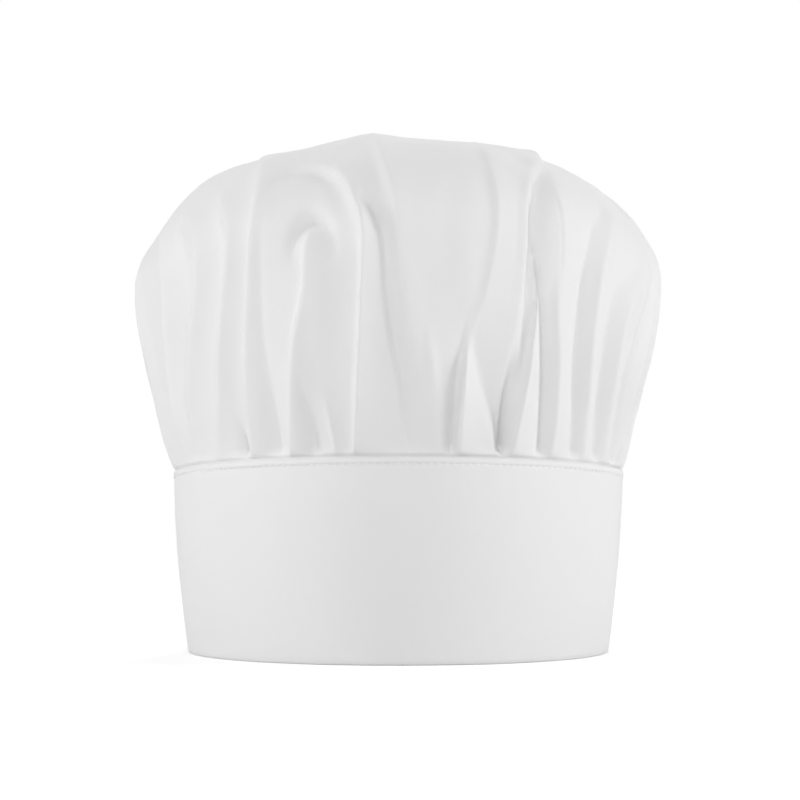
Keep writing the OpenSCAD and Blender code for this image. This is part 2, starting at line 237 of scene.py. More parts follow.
def new_material(name, colour, roughness, sheen=0.0, specular=0.3):
    """A Principled material, with its tree and its shader node."""
    material = bpy.data.materials.new(name)
    material.use_nodes = True
    tree = material.node_tree
    shader = tree.nodes["Principled BSDF"]
    shader.inputs["Base Color"].default_value = linear(colour)
    shader.inputs["Roughness"].default_value = roughness
    shader.inputs["Specular IOR Level"].default_value = specular
    if sheen:
        shader.inputs["Sheen Weight"].default_value = sheen
        shader.inputs["Sheen Roughness"].default_value = 0.5
    return material, tree, shader


# %% Twill
TWILL_MM = 0.9        # real ridges are 0.6 mm apart; drawn a little coarser, so that they show
TWILL_TURN = 22.0     # a steep twill: how far its ridges lean over from the upright warp
WAVE_SCALE = math.tau / 20     # gives the wave texture one wave for each unit of its vector
RIDGE_MM, RIDGE_STRENGTH = 0.12, 0.13
YARN_SHARE = 0.35     # how much of the relief is uneven yarns, and the rest ridges
VALLEY_PAINTED_SHADE = 0.985   # painted shade: how much darker the weave's valleys are coloured than its ridges


def twill(name, colour, through=0.0):
    """Twill with slanting ridges and uneven yarns on the UV map. It lets a share of the light through."""
    material, tree, shader = new_material(name, colour, 0.85, sheen=0.12)
    place = add_node(tree, "ShaderNodeUVMap", uv_map="cloth")
    turned = add_node(tree, "ShaderNodeMapping", {
        "Vector": place,
        "Rotation": (0, 0, math.radians(TWILL_TURN)),
        "Scale": (1 / (TWILL_MM * MM), 1 / (TWILL_MM * MM), 1)})
    ridges = add_node(tree, "ShaderNodeTexWave", {
        "Vector": turned,
        "Scale": WAVE_SCALE,
        "Distortion": 0.6,
        "Detail": 2.0,
        "Detail Scale": 1.5},
        wave_type="BANDS", bands_direction="X", wave_profile="SIN")
    yarns = add_node(tree, "ShaderNodeTexNoise", {
        "Vector": turned, "Scale": 1.3, "Detail": 3.0, "Roughness": 0.6})
    height = add_node(tree, "ShaderNodeMix", {
        "Factor": YARN_SHARE, "A": ridges.outputs["Fac"], "B": yarns.outputs["Fac"]}, data_type="FLOAT")
    bump = add_node(tree, "ShaderNodeBump", {
        "Height": height, "Strength": RIDGE_STRENGTH, "Distance": RIDGE_MM * MM})
    tree.links.new(bump.outputs["Normal"], shader.inputs["Normal"])
    # The colour is painted a shade darker where the relief is low, as shade in the weave's valleys.
    painted_shade = add_node(tree, "ShaderNodeMix", {
        "Factor": height, "A": linear(shade(colour, VALLEY_PAINTED_SHADE)), "B": linear(colour)}, data_type="RGBA")
    tree.links.new(live(painted_shade.outputs), shader.inputs["Base Color"])
    if through:
        passed = add_node(tree, "ShaderNodeBsdfTranslucent", {"Color": linear(colour)})
        both = add_node(tree, "ShaderNodeMixShader", {0: through, 1: shader, 2: passed})
        tree.links.new(both.outputs["Shader"], tree.nodes["Material Output"].inputs["Surface"])
    return material


# Bleaching and pressing give an even, matt white. The crown and the band are the same cloth, but
# their copies are set apart by painted light: the crown's white is painted lighter, to make up for
# the light that goes through it, and the band's a shade darker. Spun thread is smoother than the
# cloth, so each stitch shows.
CROWN_WHITE_PAINTED_LIGHTER, BAND_WHITE_PAINTED_DARKER = "#F6F6F6", "#EBEBEB"
crown_twill = twill("bleached poly-cotton twill, crown", CROWN_WHITE_PAINTED_LIGHTER, through=0.12)
band_twill = twill("bleached poly-cotton twill, band", BAND_WHITE_PAINTED_DARKER)
thread_white = new_material("spun polyester thread", "#F1F1F1", 0.6, sheen=0.1)[0]
print("twill ridges every", TWILL_MM, "mm")

# %% [markdown]
# ## The crown: one sheet
#
# The crown is one sheet of cloth, so it starts as a flat grid. A cloth simulation could draw
# a disc in at its edge, but it would choose the folds itself. Wrapped round the hat, the grid
# takes each fold where it is drawn. Its columns run up from the seam to the middle of the
# top, close together. The first and the last meet at the back, and stay apart at the slit.

# %% Lay out the crown's sheet
CROWN_COLUMNS = 640
CROWDING = 24.0     # degrees by which the columns are drawn towards the front, where the folds are finest
FOOT_RISES = [BAND_H - ALLOWANCE, 72, 75, 77.4, 78.4, BAND_H, 79.4, 79.8, 80.3,
              81, 82, 83.4, 85.2, 87.6, 90.6, 94]
rises = np.concatenate([       # close at the seam, even where the folds are, and wide over the smooth top
    FOOT_RISES, np.arange(97, BULGE_Z, 3.0), np.linspace(BULGE_Z, 235, 26), np.linspace(241, TOP_RISE, 12)])
crown_shape, column, row = flat_cloth(CROWN_COLUMNS, len(rises) - 1)
rise = rises[row]
turn = column / CROWN_COLUMNS * 360 - 180
angle = turn - CROWDING * np.sin(np.radians(turn))   # degrees from the front centre
print("crown:", len(crown_shape.verts), "vertices before the folds")

# %% [markdown]
# ## Folds as strokes
#
# A fold is a stroke drawn over the cloth: a crest with a long slope on one side and a short
# steep one on the other, as in a knife pleat, or a valley, which is the same turned inwards.
# A stroke is a path of points, and each of its sides has its own width. The folds could be
# sculpted, but a stroke is a few numbers that can be changed alone. The front's strokes are
# placed one by one, from the seam upwards, and some bend over at the top, where the cloth sinks
# between two pleats.

# %% The front's folds
# Each stroke: the width in mm of its slope on the left and on the right of the path, and the
# path's points as (rise in mm, angle in degrees from the front centre, height in mm). Where a
# stroke widens or narrows, a fourth number multiplies both widths.
FRONT_FOLDS = [
    # pleats on the left, with their steep sides to the left
    (3.2, 8, [(84, -65, 0.7), (96, -63, 2.6), (120, -59, 3.7), (142, -56, 4), (158, -55, 3.5),
     (172, -58.5, 2.3), (184, -64, 0.7), (194, -69, 0)]),
    (7, 2.8, [(100, -56.7, 0), (112, -54.7, -1.7), (125, -52.2, -2.8), (140, -49.5, -3.2),
     (152, -48.5, -3.2), (162, -48.4, -3), (170, -50.4, -2.2), (178, -53.7, -1), (185, -57.2, 0)]),
    (2.8, 9, [(88, -55.8, 0.5), (98, -53.8, 2.2), (110, -50.8, 4), (130, -46, 5.3), (145, -43, 5.5),
     (155, -41.6, 5.4), (163, -41.9, 4.9), (171, -45, 3.7), (180, -50.8, 1.8), (190, -57.8, 0)]),
    (2.2, 8, [(79, -46, 0.9), (94, -43, 2.8), (108, -40, 4.1), (121, -38.2, 4.7), (138, -36.2, 4.7),
     (152, -34.5, 4.7), (164, -33.6, 4.4), (172, -35.2, 3.6), (182, -38.4, 2.3), (197, -45, 0)]),
    (1.2, 12, [(78, -35, 2.4), (92, -33.7, 3.2), (106, -32.8, 3.6), (126, -31.4, 3.6), (144, -30, 3.6),
     (158, -28.9, 3.6), (171, -28.3, 3.6), (187, -29.5, 3.2), (204, -34, 2.6), (218, -39.4, 1.8),
     (240, -49, 0.8), (260, -57, 0)]),
    (2, 2.2, [(77, -37.8, -3), (85, -37.3, -2.6), (96, -36.6, 0)]),
    # the pleat that ends in a pit, with the pit's hook round its end
    (1.2, 12, [(78, -24.6, 2.4), (91, -23.5, 3.2), (108, -21.9, 3.6), (124, -20.5, 3.8), (136, -18.8, 4),
     (146, -17.5, 4), (154, -17.5, 3.8), (160, -17.2, 2.6), (165, -16.8, 0)]),
    (2.2, 3.2, [(150, -20, 0), (158, -20.2, -1), (164, -19.4, -2.4), (168.5, -16.8, -4.2),
     (166.5, -14, -3.2), (160, -12.2, -1.4), (150, -11.4, 0)]),
    (5, 3.2, [(78, -27.4, -2.4), (94, -27.2, -2.3), (113, -27.4, -1.8), (126, -27.6, -1.4),
     (142, -27.2, -1.1), (156, -26.6, -0.8), (172, -26, 0)]),
    (2.4, 2.6, [(77, -18.4, -3.2), (90, -18.6, -2.6), (101, -19.3, -1.2), (112, -20, 0)]),
    (2.4, 3, [(78, -13.4, 1.3), (90, -14.2, 1.9), (96, -14.8, 1.6), (108, -16, 0)]),
    # the pleat that bends over into an arch, and its flat right side
    (1.2, 6.5, [(78, -9.8, 2.4), (90, -9.1, 3.2), (104, -8.3, 3.6), (123, -7.5, 3.8), (141, -6.9, 3.8),
     (155, -6.5, 3.8), (167, -6.7, 3.8), (177, -8.3, 3.4), (187, -10.6, 2.8, 1.2), (196, -14.6, 2, 1.5),
     (200.5, -19.5, 1.5, 1.8), (200, -25, 0.9, 2), (196, -29, 0, 2)]),
    (2.4, 2.4, [(182, -26.6, 0), (191, -25.6, -0.8), (195.5, -22.5, -1.3), (195.5, -18.8, -1.4),
     (190, -14.6, -1.2), (180, -11.4, -0.4), (170, -9.8, 0)]),
    # the front centre
    (1.5, 4.5, [(80, 2.4, 0), (92, 1.5, -1.2), (109, 0.4, -1.8), (123, -1, -2), (138, -2.1, -2),
     (152, -2.5, -2.2), (161, -3, -3), (169, -4.2, -4.6), (174, -5.8, -3), (182, -8.4, 0)]),
    (3.2, 9, [(90, 5, 0), (104, 4, 1), (118, 2.8, 1.6), (130, 2, 1.9), (145, 1, 2), (158.5, 0.2, 2),
     (173, -0.6, 2), (189, -2, 1.9), (208, -4.3, 1.7), (226, -6.4, 1.4), (244, -8.6, 0.8), (258, -11, 0)]),
    (9, 3, [(79, 8.9, 0.8), (91, 8.6, 1.3), (104, 7.5, 1.7), (118, 6.4, 1.5), (130, 4.9, 1),
     (142, 3.3, 0)]),
    # the small three-cornered pleat between a crease and a pit, and the line that runs on above it
    (2.3, 1, [(77, 12.2, -2.9), (90, 12.1, -2.7), (104, 12.1, -2.1), (116, 12.5, -1.3), (126, 13.1, -0.6),
     (138, 14.6, 0)]),
    (1.2, 7.6, [(78, 12.9, 2.4), (90, 13, 2.8, 0.9), (101, 13.2, 2.8, 0.6), (112, 13.5, 2, 0.4),
     (119, 13.8, 1, 0.3), (124, 14.1, 0, 0.3)]),
    (1.5, 4.6, [(77, 23.2, -2.6, 0.6), (86, 22.6, -2.8, 0.8), (95, 21, -3, 1.1), (104, 18.6, -2.6, 1.7),
     (113, 16.6, -2, 2.3), (123, 15.6, -1.3, 2.8), (138, 17.5, 0, 3)]),
    (1.5, 1.7, [(77, 23.8, -5.6, 0.9), (86, 23.8, -5.7, 1.1), (94, 23.7, -4.9, 1.5), (103, 23.6, -3.4, 1.9),
     (112, 23.7, -1.7, 2.1), (122, 24.2, 0, 2.1)]),
    (1.8, 9, [(118, 13.8, 0), (128, 15, 0.5), (142, 17, 0.9), (160, 18.4, 1.2), (185, 19.6, 1.4),
     (203, 20.8, 1.3), (216, 22.8, 0.8), (230, 26, 0)]),
    # pleats on the right: a crease, a short slope up to a crest, and a long slope down to the next crease
    (1.3, 7.2, [(78, 25.8, 2.2), (86, 25.8, 3), (94, 26.1, 3.2, 0.95), (104, 26.7, 3.2, 0.8),
     (116, 27.4, 2.9, 0.6), (128, 28.1, 2.2, 0.4), (139, 28.9, 1, 0.3), (148, 29.6, 0, 0.3)]),
    (2, 1.4, [(77, 34.2, -1.9), (83, 33.9, -1.9), (103, 32.5, -1.9), (120, 31.1, -2), (130, 30.3, -2.3),
     (140, 29.4, -2.9), (150, 28.5, -3.5), (160, 27.6, -4.4), (170, 27, -4.9), (178, 27.8, -4.8),
     (188, 30.2, 0)]),
    (1.5, 0.9, [(146, 33.6, 0), (156, 33.2, -1), (167, 33, -1.4), (176, 33.2, -1.5), (184, 33.7, -1.5),
     (193, 34.9, -1.4), (203, 37.8, -1.2), (213, 40.8, -1), (222, 42.4, -0.6), (230, 43, 0)]),
    (2.6, 8, [(78, 36.8, 1.8), (90, 36.1, 2.7), (103, 35.2, 3), (120, 34, 3.1), (132, 33.2, 2.8),
     (146, 32.8, 1.6), (158, 32.6, 0)]),
    (9, 6, [(136, 34.4, 0), (148, 33.6, 1.2), (159, 33.3, 2), (171, 33.3, 2.4), (186, 34.6, 2.4),
     (196, 36, 2.2), (210, 40.2, 1.6), (226, 45, 0.8), (240, 50, 0)]),
    (1.6, 7.5, [(114, 25, 0), (124, 25.9, -1.4), (134, 26.3, -2.6), (145, 26.4, -3.6), (158, 26.4, -4.4),
     (172, 26.8, -4.8), (186, 29, -4.6), (200, 33.6, -3.8), (214, 40.6, -2.6), (226, 46.4, -1.1),
     (236, 50, 0)]),
    (4, 1.6, [(112, 22.4, 0), (124, 23.6, 0.4), (140, 24.4, 0.9), (157, 24.6, 1.2), (172, 25, 1.5),
     (186, 27.4, 1.6), (200, 31.9, 1.6), (214, 38.8, 1.4), (228, 45.2, 1), (240, 48, 0.4), (252, 49, 0)]),
    (2.2, 1.5, [(77, 45.2, -1.6), (104, 41.4, -1.8), (121, 39.9, -1.9), (136, 39.6, -1.9),
     (150, 39.8, -1.8), (160, 40.6, -1.6), (172, 42.7, -1.3), (181, 47.2, -0.8), (192, 53, 0)]),
    (2.8, 8, [(78, 48.2, 1.8), (104, 44.6, 3), (121, 43.1, 3.3), (136, 42.8, 3.3), (150, 43.1, 3.2),
     (160, 44.1, 2.9), (172, 46.8, 2.4), (184, 51.6, 1.5), (198, 57, 0)]),
    (2.2, 1.5, [(77, 54.6, -1.6), (97, 51.4, -1.9), (111, 49.8, -2), (125, 49, -2), (136, 49, -2),
     (147, 50.7, -1.7), (154, 53.7, -1.3), (160, 59, -0.8), (168, 65, 0)]),
    (3, 8, [(78, 57.8, 1.8), (97, 54.7, 3.2), (111, 53.1, 3.6), (125, 52.3, 3.7), (136, 52.4, 3.6),
     (147, 54.4, 3.1), (156, 58.6, 2.5), (166, 64.4, 1.4), (176, 70, 0)]),
    (2.2, 1.5, [(77, 65.1, -1.6), (98, 62, -2), (114, 61.2, -2.1), (129, 62.2, -2), (142, 64.2, -1.6),
     (155, 68.1, -1), (164, 73, 0)]),
    (3, 8, [(78, 68.6, 1.8), (98, 65.6, 3.2), (114, 64.8, 3.6), (129, 65.9, 3.4), (142, 68, 2.8),
     (155, 71.8, 1.6), (166, 77, 0)]),
]
# The broad forms under the folds: the puffed top's peak, its shoulders and a flatter right side.
BROAD_FORMS = [
    (12, 10, [(220, -9, 0), (234, -9.6, 0.8), (246, -10, 1.4), (258, -10, 1), (280, -10, 0)]),
    (14, 16, [(222, 8, 0), (236, 7.6, -1.7), (250, 7.4, -2), (276, 7, 0)]),
    (18, 5, [(206, 39, 0), (218, 42.8, 0.9), (229, 45.6, 1.7), (240, 46.8, 1), (254, 47, 0)]),
    (34, 40, [(84, 92, 0), (100, 92, -2.6), (122, 92, -3.4), (142, 92, -3), (158, 92, -1), (168, 92, 0)]),
    (18, 30, [(186, -70, 0), (204, -68, 2), (222, -64, 2.4), (240, -60, 0)]),
    (30, 18, [(182, 72, 0), (198, 70, 1.6), (216, 66, 2), (236, 60, 0)]),
    (15, 16, [(216, -37, 0), (229, -38, -2), (244, -36, -2.4), (262, -34, 0)]),
]
print(len(FRONT_FOLDS), "strokes at the front")

# %% [markdown]
# The sides and the back get strokes by rule. A sewer draws the cloth in by hand, so the
# pleats are uneven: their spacing, height, lean and length come from a seeded random draw,
# and each one's steep side still faces the same way round the hat.

# %% The other folds
rng = np.random.default_rng(7)
FIRST_SIDE, LAST_SIDE = 72.0, 286.0
side_folds = []
fold_at = FIRST_SIDE
while fold_at < LAST_SIDE:
    tall = rng.uniform(2.4, 3.8)
    reach = rng.uniform(182, 240)
    lean = rng.uniform(-3.5, 3.5)
    spread = rng.uniform(1, 9) * (1 if fold_at < 180 else -1)
    slopes = (rng.uniform(2.4, 3.6), rng.uniform(8, 10))
    side_folds.append((*slopes, [
        (78, fold_at, tall * 0.5), (95, fold_at + lean * 0.3, tall * 0.9),
        (120, fold_at + lean * 0.8, tall), (150, fold_at + lean, tall * 0.95),
        (reach - 15, fold_at + lean + spread * 0.3, tall * 0.6),
        (reach, fold_at + lean + spread, tall * 0.3), (reach + 26, fold_at + lean + spread * 1.6, 0)]))
    if rng.random() < 0.6:
        pit = fold_at - rng.uniform(2.4, 3.4)
        side_folds.append((2.6, 2.0, [
            (77, pit, -2.6), (94, pit, -2.2), (rng.uniform(108, 130), pit + lean * 0.4, 0)]))
    fold_at += rng.uniform(7.4, 11.2)
print(len(side_folds), "strokes round the sides and the back")

# %% [markdown]
# ## From strokes to cloth
#
# Each vertex finds the nearest point of every stroke's path, and the distance from it says
# how far the cloth is lifted or sunk there. The strokes could be added up, but pleats that
# cross would pile up. So the highest ridge and the deepest valley count, and a share of the
# lower ridge softens their meeting, as one layer of cloth lies over another.

# %% Height of a fold
def smooth_path(points, per_piece=7):
    """A smooth curve through a path's points, as an array with more points."""
    p = np.array(points, float)
    step = np.zeros_like(p)
    step[1:-1] = (p[2:] - p[:-2]) / 2
    step[0], step[-1] = p[1] - p[0], p[-1] - p[-2]
    curve = []
    for i in range(len(p) - 1):
        for t in np.arange(per_piece) / per_piece:
            curve.append((2 * t**3 - 3 * t**2 + 1) * p[i] + (t**3 - 2 * t**2 + t) * step[i]
                         + (3 * t**2 - 2 * t**3) * p[i + 1] + (t**3 - t**2) * step[i + 1])
    return np.array(curve + [p[-1]])


def turn_between(a, b):
    """The signed turn from b to a, in degrees, at most half a turn."""
    return (np.asarray(a) - b + 180) % 360 - 180


STROKE_REACH = 3.2         # how many widths away from its path a stroke is still felt
CREST_ROUNDNESS = 1.35     # 1 is a sharp crest, 2 a round one


def fold_height(stroke, angle, rise, radius):
    """How far one stroke lifts the cloth, in mm, by the distance from its path and the side of it."""
    left, right, points = stroke
    path = smooth_path([point if len(point) == 4 else (*point, 1.0) for point in points])
    middle = path[:, 1].mean()
    path_r = crown_outline(path[:, 0])[0]
    px, py, tall = np.radians(path[:, 1] - middle) * path_r, path[:, 0], path[:, 2]
    x, y = np.radians(turn_between(angle, middle)) * radius, rise
    spread = path[:, 3]
    reach = STROKE_REACH * max(left, right) * spread.max()
    near = np.flatnonzero((x > px.min() - reach) & (x < px.max() + reach)
                          & (y > py.min() - reach) & (y < py.max() + reach))
    lift = np.zeros(len(rise))
    best = np.full(len(near), np.inf)
    for i in range(len(px) - 1):
        dx, dy = px[i + 1] - px[i], py[i + 1] - py[i]
        to_x, to_y = x[near] - px[i], y[near] - py[i]
        t = np.clip((to_x * dx + to_y * dy) / (dx * dx + dy * dy), 0, 1)
        off = np.hypot(to_x - t * dx, to_y - t * dy)
        closer = off < best
        best[closer] = off[closer]
        width = np.where(dy * to_x - dx * to_y > 0, right, left)
        width = width * (spread[i] + t * (spread[i + 1] - spread[i]))
        here = (tall[i] + t * (tall[i + 1] - tall[i])) * np.exp(-(off / width) ** CREST_ROUNDNESS)
        lift[near[closer]] = here[closer]
    return lift


# %% Height of all the folds together
FOLD_GAIN = 1.12     # makes all the strokes a little higher and deeper
OVERLAP = 0.25       # how much the lower of two ridges adds to the higher one
SINK_MM = 1.6        # how far the cloth sinks between the folds
SINK_TO, SINK_FADE = 190, 70       # the rise up to which it does, and over which that fades
BACK, CLEAR_OF_SLIT = 180, 132     # the slit's direction in degrees, and the rise that is clear of it
BARE_TURN, BARE_FADE = 6, 8        # degrees beside the slit without folds, and over which they come in
SEAM_UP, SEAM_FADE = 0.6, 3.2      # how far over the band the folds start, and over which they grow
FREE_OVER = 30       # the rise over which cloth that is held lower down becomes free


def crown_lift(angle, rise, radius):
    """The lift of all the strokes together, in mm."""
    ridges = np.zeros_like(rise)
    valleys = np.zeros_like(rise)
    for stroke in FRONT_FOLDS + side_folds:
        lift = fold_height(stroke, angle, rise, radius)
        ridges = np.maximum(ridges, lift) + OVERLAP * np.minimum(ridges, np.maximum(lift, 0))
        valleys = np.minimum(valleys, lift)
    between = -SINK_MM * (1 - smooth_step((rise - SINK_TO) / SINK_FADE))
    beside_slit = smooth_step((np.abs(turn_between(angle, BACK)) - BARE_TURN) / BARE_FADE)
    folded = np.maximum(beside_slit, smooth_step((rise - CLEAR_OF_SLIT) / FREE_OVER))
    grow = smooth_step((rise - BAND_H - SEAM_UP) / SEAM_FADE)
    broad = sum(fold_height(stroke, angle, rise, radius) for stroke in BROAD_FORMS)
    return grow * (folded * (FOLD_GAIN * (ridges + valleys) + between) + broad)


# %% [markdown]
# ## The crown's shape
#
# The lift is along the cloth's own outward direction, so folds stand off the wall as well as
# off the dome. Slow noise adds the soft lumps of puffed cloth, and the ripples that run up
# from a gathered seam. Beside the slit the cloth is calm, and gives way to open it.

# %% Shape the crown
SLIT_TOP = BAND_H + SLIT_H
LUMP_MM, LUMP_SIZE = 1.6, 55                        # the puffed cloth's soft lumps
RIPPLE_MM, RIPPLE_ROUND, RIPPLE_UP = 0.5, 9, 60     # ripples are long and narrow
PINCH_MM, PINCH_WIDE = 0.7, 0.6     # how far the seam draws the cloth in, and over what height
EVEN_TURN, EVEN_FADE = 3, 9         # degrees beside the slit without lumps, and over which they come in
POLE_MM = 0.6        # this near to the middle of the top, outwards is straight up
SLIT_PULL = 14       # how far round from the slit, in mm, the cloth gives way as it opens


def slow_noise(points, size, seed):
    """Smooth noise between -1 and 1 at points in mm, with lumps of about the given size."""
    return np.array([noise.noise(Vector(p) / size + Vector((seed, 0, 0))) for p in points])


def folded_crown(angle, rise):
    """Where each vertex of the crown goes, in mm."""
    radius, height = crown_outline(rise)
    ahead_r, ahead_z = crown_outline(rise + 0.5)
    behind_r, behind_z = crown_outline(rise - 0.5)
    slope = np.hypot(ahead_r - behind_r, ahead_z - behind_z)
    at_pole = rise >= TOP_RISE - POLE_MM
    out_r = np.where(at_pole, 0, (ahead_z - behind_z) / slope)
    out_z = np.where(at_pole, 1, -(ahead_r - behind_r) / slope)
    x, y = radius * np.sin(np.radians(angle)), -radius * np.cos(np.radians(angle))
    lumps = slow_noise(np.c_[x, y, height], LUMP_SIZE, seed=3.1)
    ripples = slow_noise(np.c_[x / RIPPLE_ROUND, y / RIPPLE_ROUND, rise / RIPPLE_UP], 1.0, seed=8.4)
    free = smooth_step((rise - BAND_H) / FREE_OVER)
    beside_slit = (np.abs(turn_between(angle, BACK)) - EVEN_TURN) / EVEN_FADE
    free = free * smooth_step(beside_slit + smooth_step((rise - CLEAR_OF_SLIT) / FREE_OVER))
    lift = crown_lift(angle, rise, radius) + free * (LUMP_MM * lumps + RIPPLE_MM * ripples)
    lift -= PINCH_MM * np.exp(-((rise - BAND_H - SEAM_UP) / PINCH_WIDE) ** 2)
    r = radius + lift * out_r
    z = height + lift * out_z
    gap = SLIT_W / 2 * np.clip((SLIT_TOP - rise) / SLIT_H, 0, 1)
    from_slit = np.radians(180 - np.abs(angle)) * radius
    shift = gap * np.exp(-from_slit / SLIT_PULL)
    turned = np.radians(angle) - np.sign(angle) * shift / np.maximum(radius, 1)
    return np.c_[r * np.sin(turned), -r * np.cos(turned), z]


crown_points = folded_crown(angle, rise)
move_to(crown_shape, crown_points)
print("crown:", np.round(crown_points.min(0), 1), "to", np.round(crown_points.max(0), 1), "mm")

# %% [markdown]
# ## The weave's map
#
# The weave follows the cloth, so it is laid out as the flat disc would be: the rise, taken
# from the middle of the disc outwards, is the distance, and the angle is narrowed a little,
# since part of the cloth is hidden in the folds. An unwrap could do it, but it would cut the
# sheet into islands, and the ridges would break at their edges.

# %% Lay the weave, close the back and finish the crown
WEAVE_NARROWING = 0.7
weave_turn = np.radians(angle) * WEAVE_NARROWING
from_top = TOP_RISE - rise
lay_weave(crown_shape, np.c_[from_top * np.sin(weave_turn), -from_top * np.cos(weave_turn)])
ends = (row == len(rises) - 1) | ((rise >= SLIT_TOP - 0.5) & ((column == 0) | (column == CROWN_COLUMNS)))
bmesh.ops.remove_doubles(crown_shape, verts=pick_verts(crown_shape, ends), dist=MERGE)
bmesh.ops.recalc_face_normals(crown_shape, faces=crown_shape.faces)
crown_cloth = new_piece("crown_cloth", crown_shape, crown_twill)
thicken(crown_cloth, CROWN_T)
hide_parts("crown")
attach(crown_cloth, "hat")
print("crown:", len(crown_cloth.data.polygons), "faces on its outside")

# %% [markdown]
# ## The band
#
# The band is one strip of the same cloth, folded lengthwise at the rim over its stiffener.
# Its upper edges are turned in round the crown's edge and stitched, which leaves a narrow
# raised roll along the seam with a shallow groove under it, where the stitches pull. It could
# be a bevelled tube, but a strip that is drawn in section and wrapped round has the real
# one's fold at the rim and its open ends at the back.

# %% The band's section
SEAM_STITCH_Z = 76.4
ROLL_MM, ROLL_RISE = 0.32, 0.9     # the roll's height, and how soon over the stitches it has it
ROLL_TOP, ROLL_FALL, ROLL_DROP = 78.2, 0.8, 0.8     # where it ends, over what, and the share that it loses
FOLD_R = 1.0         # how high up the rim's round fold starts
SEAM_HEIGHTS = [BAND_H, 78.8, 78.4, 77.9, 77.4, 77.1, 76.8, 76.6, 76.4, 76.2, 76.0, 75.6, 75, 74]


def band_section():
    """The folded strip in section: down its outer leg, round the rim and up its inner leg, as (r, z)."""
    outer = []
    for z in SEAM_HEIGHTS + list(np.arange(71, 5, -4.4)) + [3.0, 1.9]:
        rising = smooth_step((z - SEAM_STITCH_Z) / ROLL_RISE)
        falling = 1 - ROLL_DROP * smooth_step((z - ROLL_TOP) / ROLL_FALL)
        outer.append((float(band_radius(z)) + ROLL_MM * rising * falling, float(z)))
    foot = float(band_radius(0)) - BAND_T / 2
    fold = [(foot + BAND_T / 2 * math.cos(turn), FOLD_R - FOLD_R * math.sin(turn))
            for turn in np.linspace(0, math.pi, 9)[1:-1]]
    inner_heights = [1.9, 3] + list(np.arange(9, 76, 8.4)) + [77, BAND_H]
    inner = [(float(band_radius(z)) - BAND_T, float(z)) for z in inner_heights]
    return outer + fold + inner


section = band_section()
print("band section:", len(section), "points")

# %% Wrap the band
BAND_COLUMNS = 960
STITCH_MM, PITCH_MM, THREAD_MM = 2.4, 3.1, 0.42
RING_TURN = 360 - (UNDER_END - ROOT)
GROOVE_MM, GROOVE_WIDE = 0.30, 0.35     # the depth and width of the groove that the seam's stitches pull
GROOVE_LEAST = 0.3         # the share of its depth that it has at the middle of a stitch
WAVE_MM, WAVE_ROUND, WAVE_UP = 0.42, 34, 62             # the cloth's slow waves, in mm
PUCKER_MM, PUCKER_ROUND, PUCKER_UP = 0.16, 5.5, 26      # the small puckers under the seam
PUCKER_FROM, PUCKER_FADE = 2.4, 9     # mm below the upper edge where they have that height, then die out
CALM_FROM, CALM_TO = 70, 165          # the closure's stretch in degrees, where the tapes need a smooth ground
CALM_EDGE = 12             # degrees beside it over which the waves come in


def wrap_section(section, first, turn, columns):
    """A flat strip as a grid, with each vertex's row, direction in degrees, radius and height."""
    shape, column, row = flat_cloth(columns, len(section) - 1)
    points = np.array(section)
    return shape, row, first + turn * column / columns, points[row, 0], points[row, 1]


def at(turn, r, z):
    """Points in mm from directions in degrees, radii and heights."""
    return np.c_[r * np.cos(np.radians(turn)), r * np.sin(np.radians(turn)), z]


def lay_strip_weave(shape, section, turn, row):
    """The weave of a strip: its length runs round the hat and its width along the section."""
    steps = np.hypot(*np.diff(np.array(section), axis=0).T)
    across = np.concatenate([[0], np.cumsum(steps)])
    lay_weave(shape, np.c_[np.radians(turn) * RING_R, -across[row]])


def seam_stitches(margin=along_band(1.5)):
    """Where the seam's first stitch is, the turn from each stitch to the next and their count."""
    count = int(np.radians(RING_TURN - 2 * margin) * SEAM_R / PITCH_MM)
    return UNDER_END + margin, (RING_TURN - 2 * margin) / count, count


def groove(turn, z):
    """How far the seam's stitches pull the cloth in, in mm: most at the ends of each stitch."""
    first, step = seam_stitches()[:2]
    at_ends = 0.5 - 0.5 * np.cos(math.tau * (turn - first) / step)
    deep = GROOVE_LEAST + (1 - GROOVE_LEAST) * at_ends
    return GROOVE_MM * deep * np.exp(-((z - SEAM_STITCH_Z) / GROOVE_WIDE) ** 2)


def pull_of_cloth(turn, z):
    """How far the band's cloth stands out, in mm: slow waves, and puckers under the seam."""
    round_way = np.radians(turn) * RING_R
    waves = slow_noise(np.c_[round_way / WAVE_ROUND, z / WAVE_UP, z * 0], 1.0, seed=1.7)
    puckers = slow_noise(np.c_[round_way / PUCKER_ROUND, z / PUCKER_UP, z * 0], 1.0, seed=5.2)
    fading = np.exp(-(BAND_H - PUCKER_FROM - z) / PUCKER_FADE)
    rough = smooth_step((CALM_FROM - turn) / CALM_EDGE) + smooth_step((turn - CALM_TO) / CALM_EDGE)
    return rough * (WAVE_MM * waves + PUCKER_MM * puckers * fading)


band_shape, row, turn, r, z = wrap_section(section, UNDER_END, RING_TURN, BAND_COLUMNS)
on_outside = row < len(section) / 2
band_points = at(turn, r + pull_of_cloth(turn % 360, z) - np.where(on_outside, groove(turn, z), 0), z)
move_to(band_shape, band_points)
lay_strip_weave(band_shape, section, turn, row)

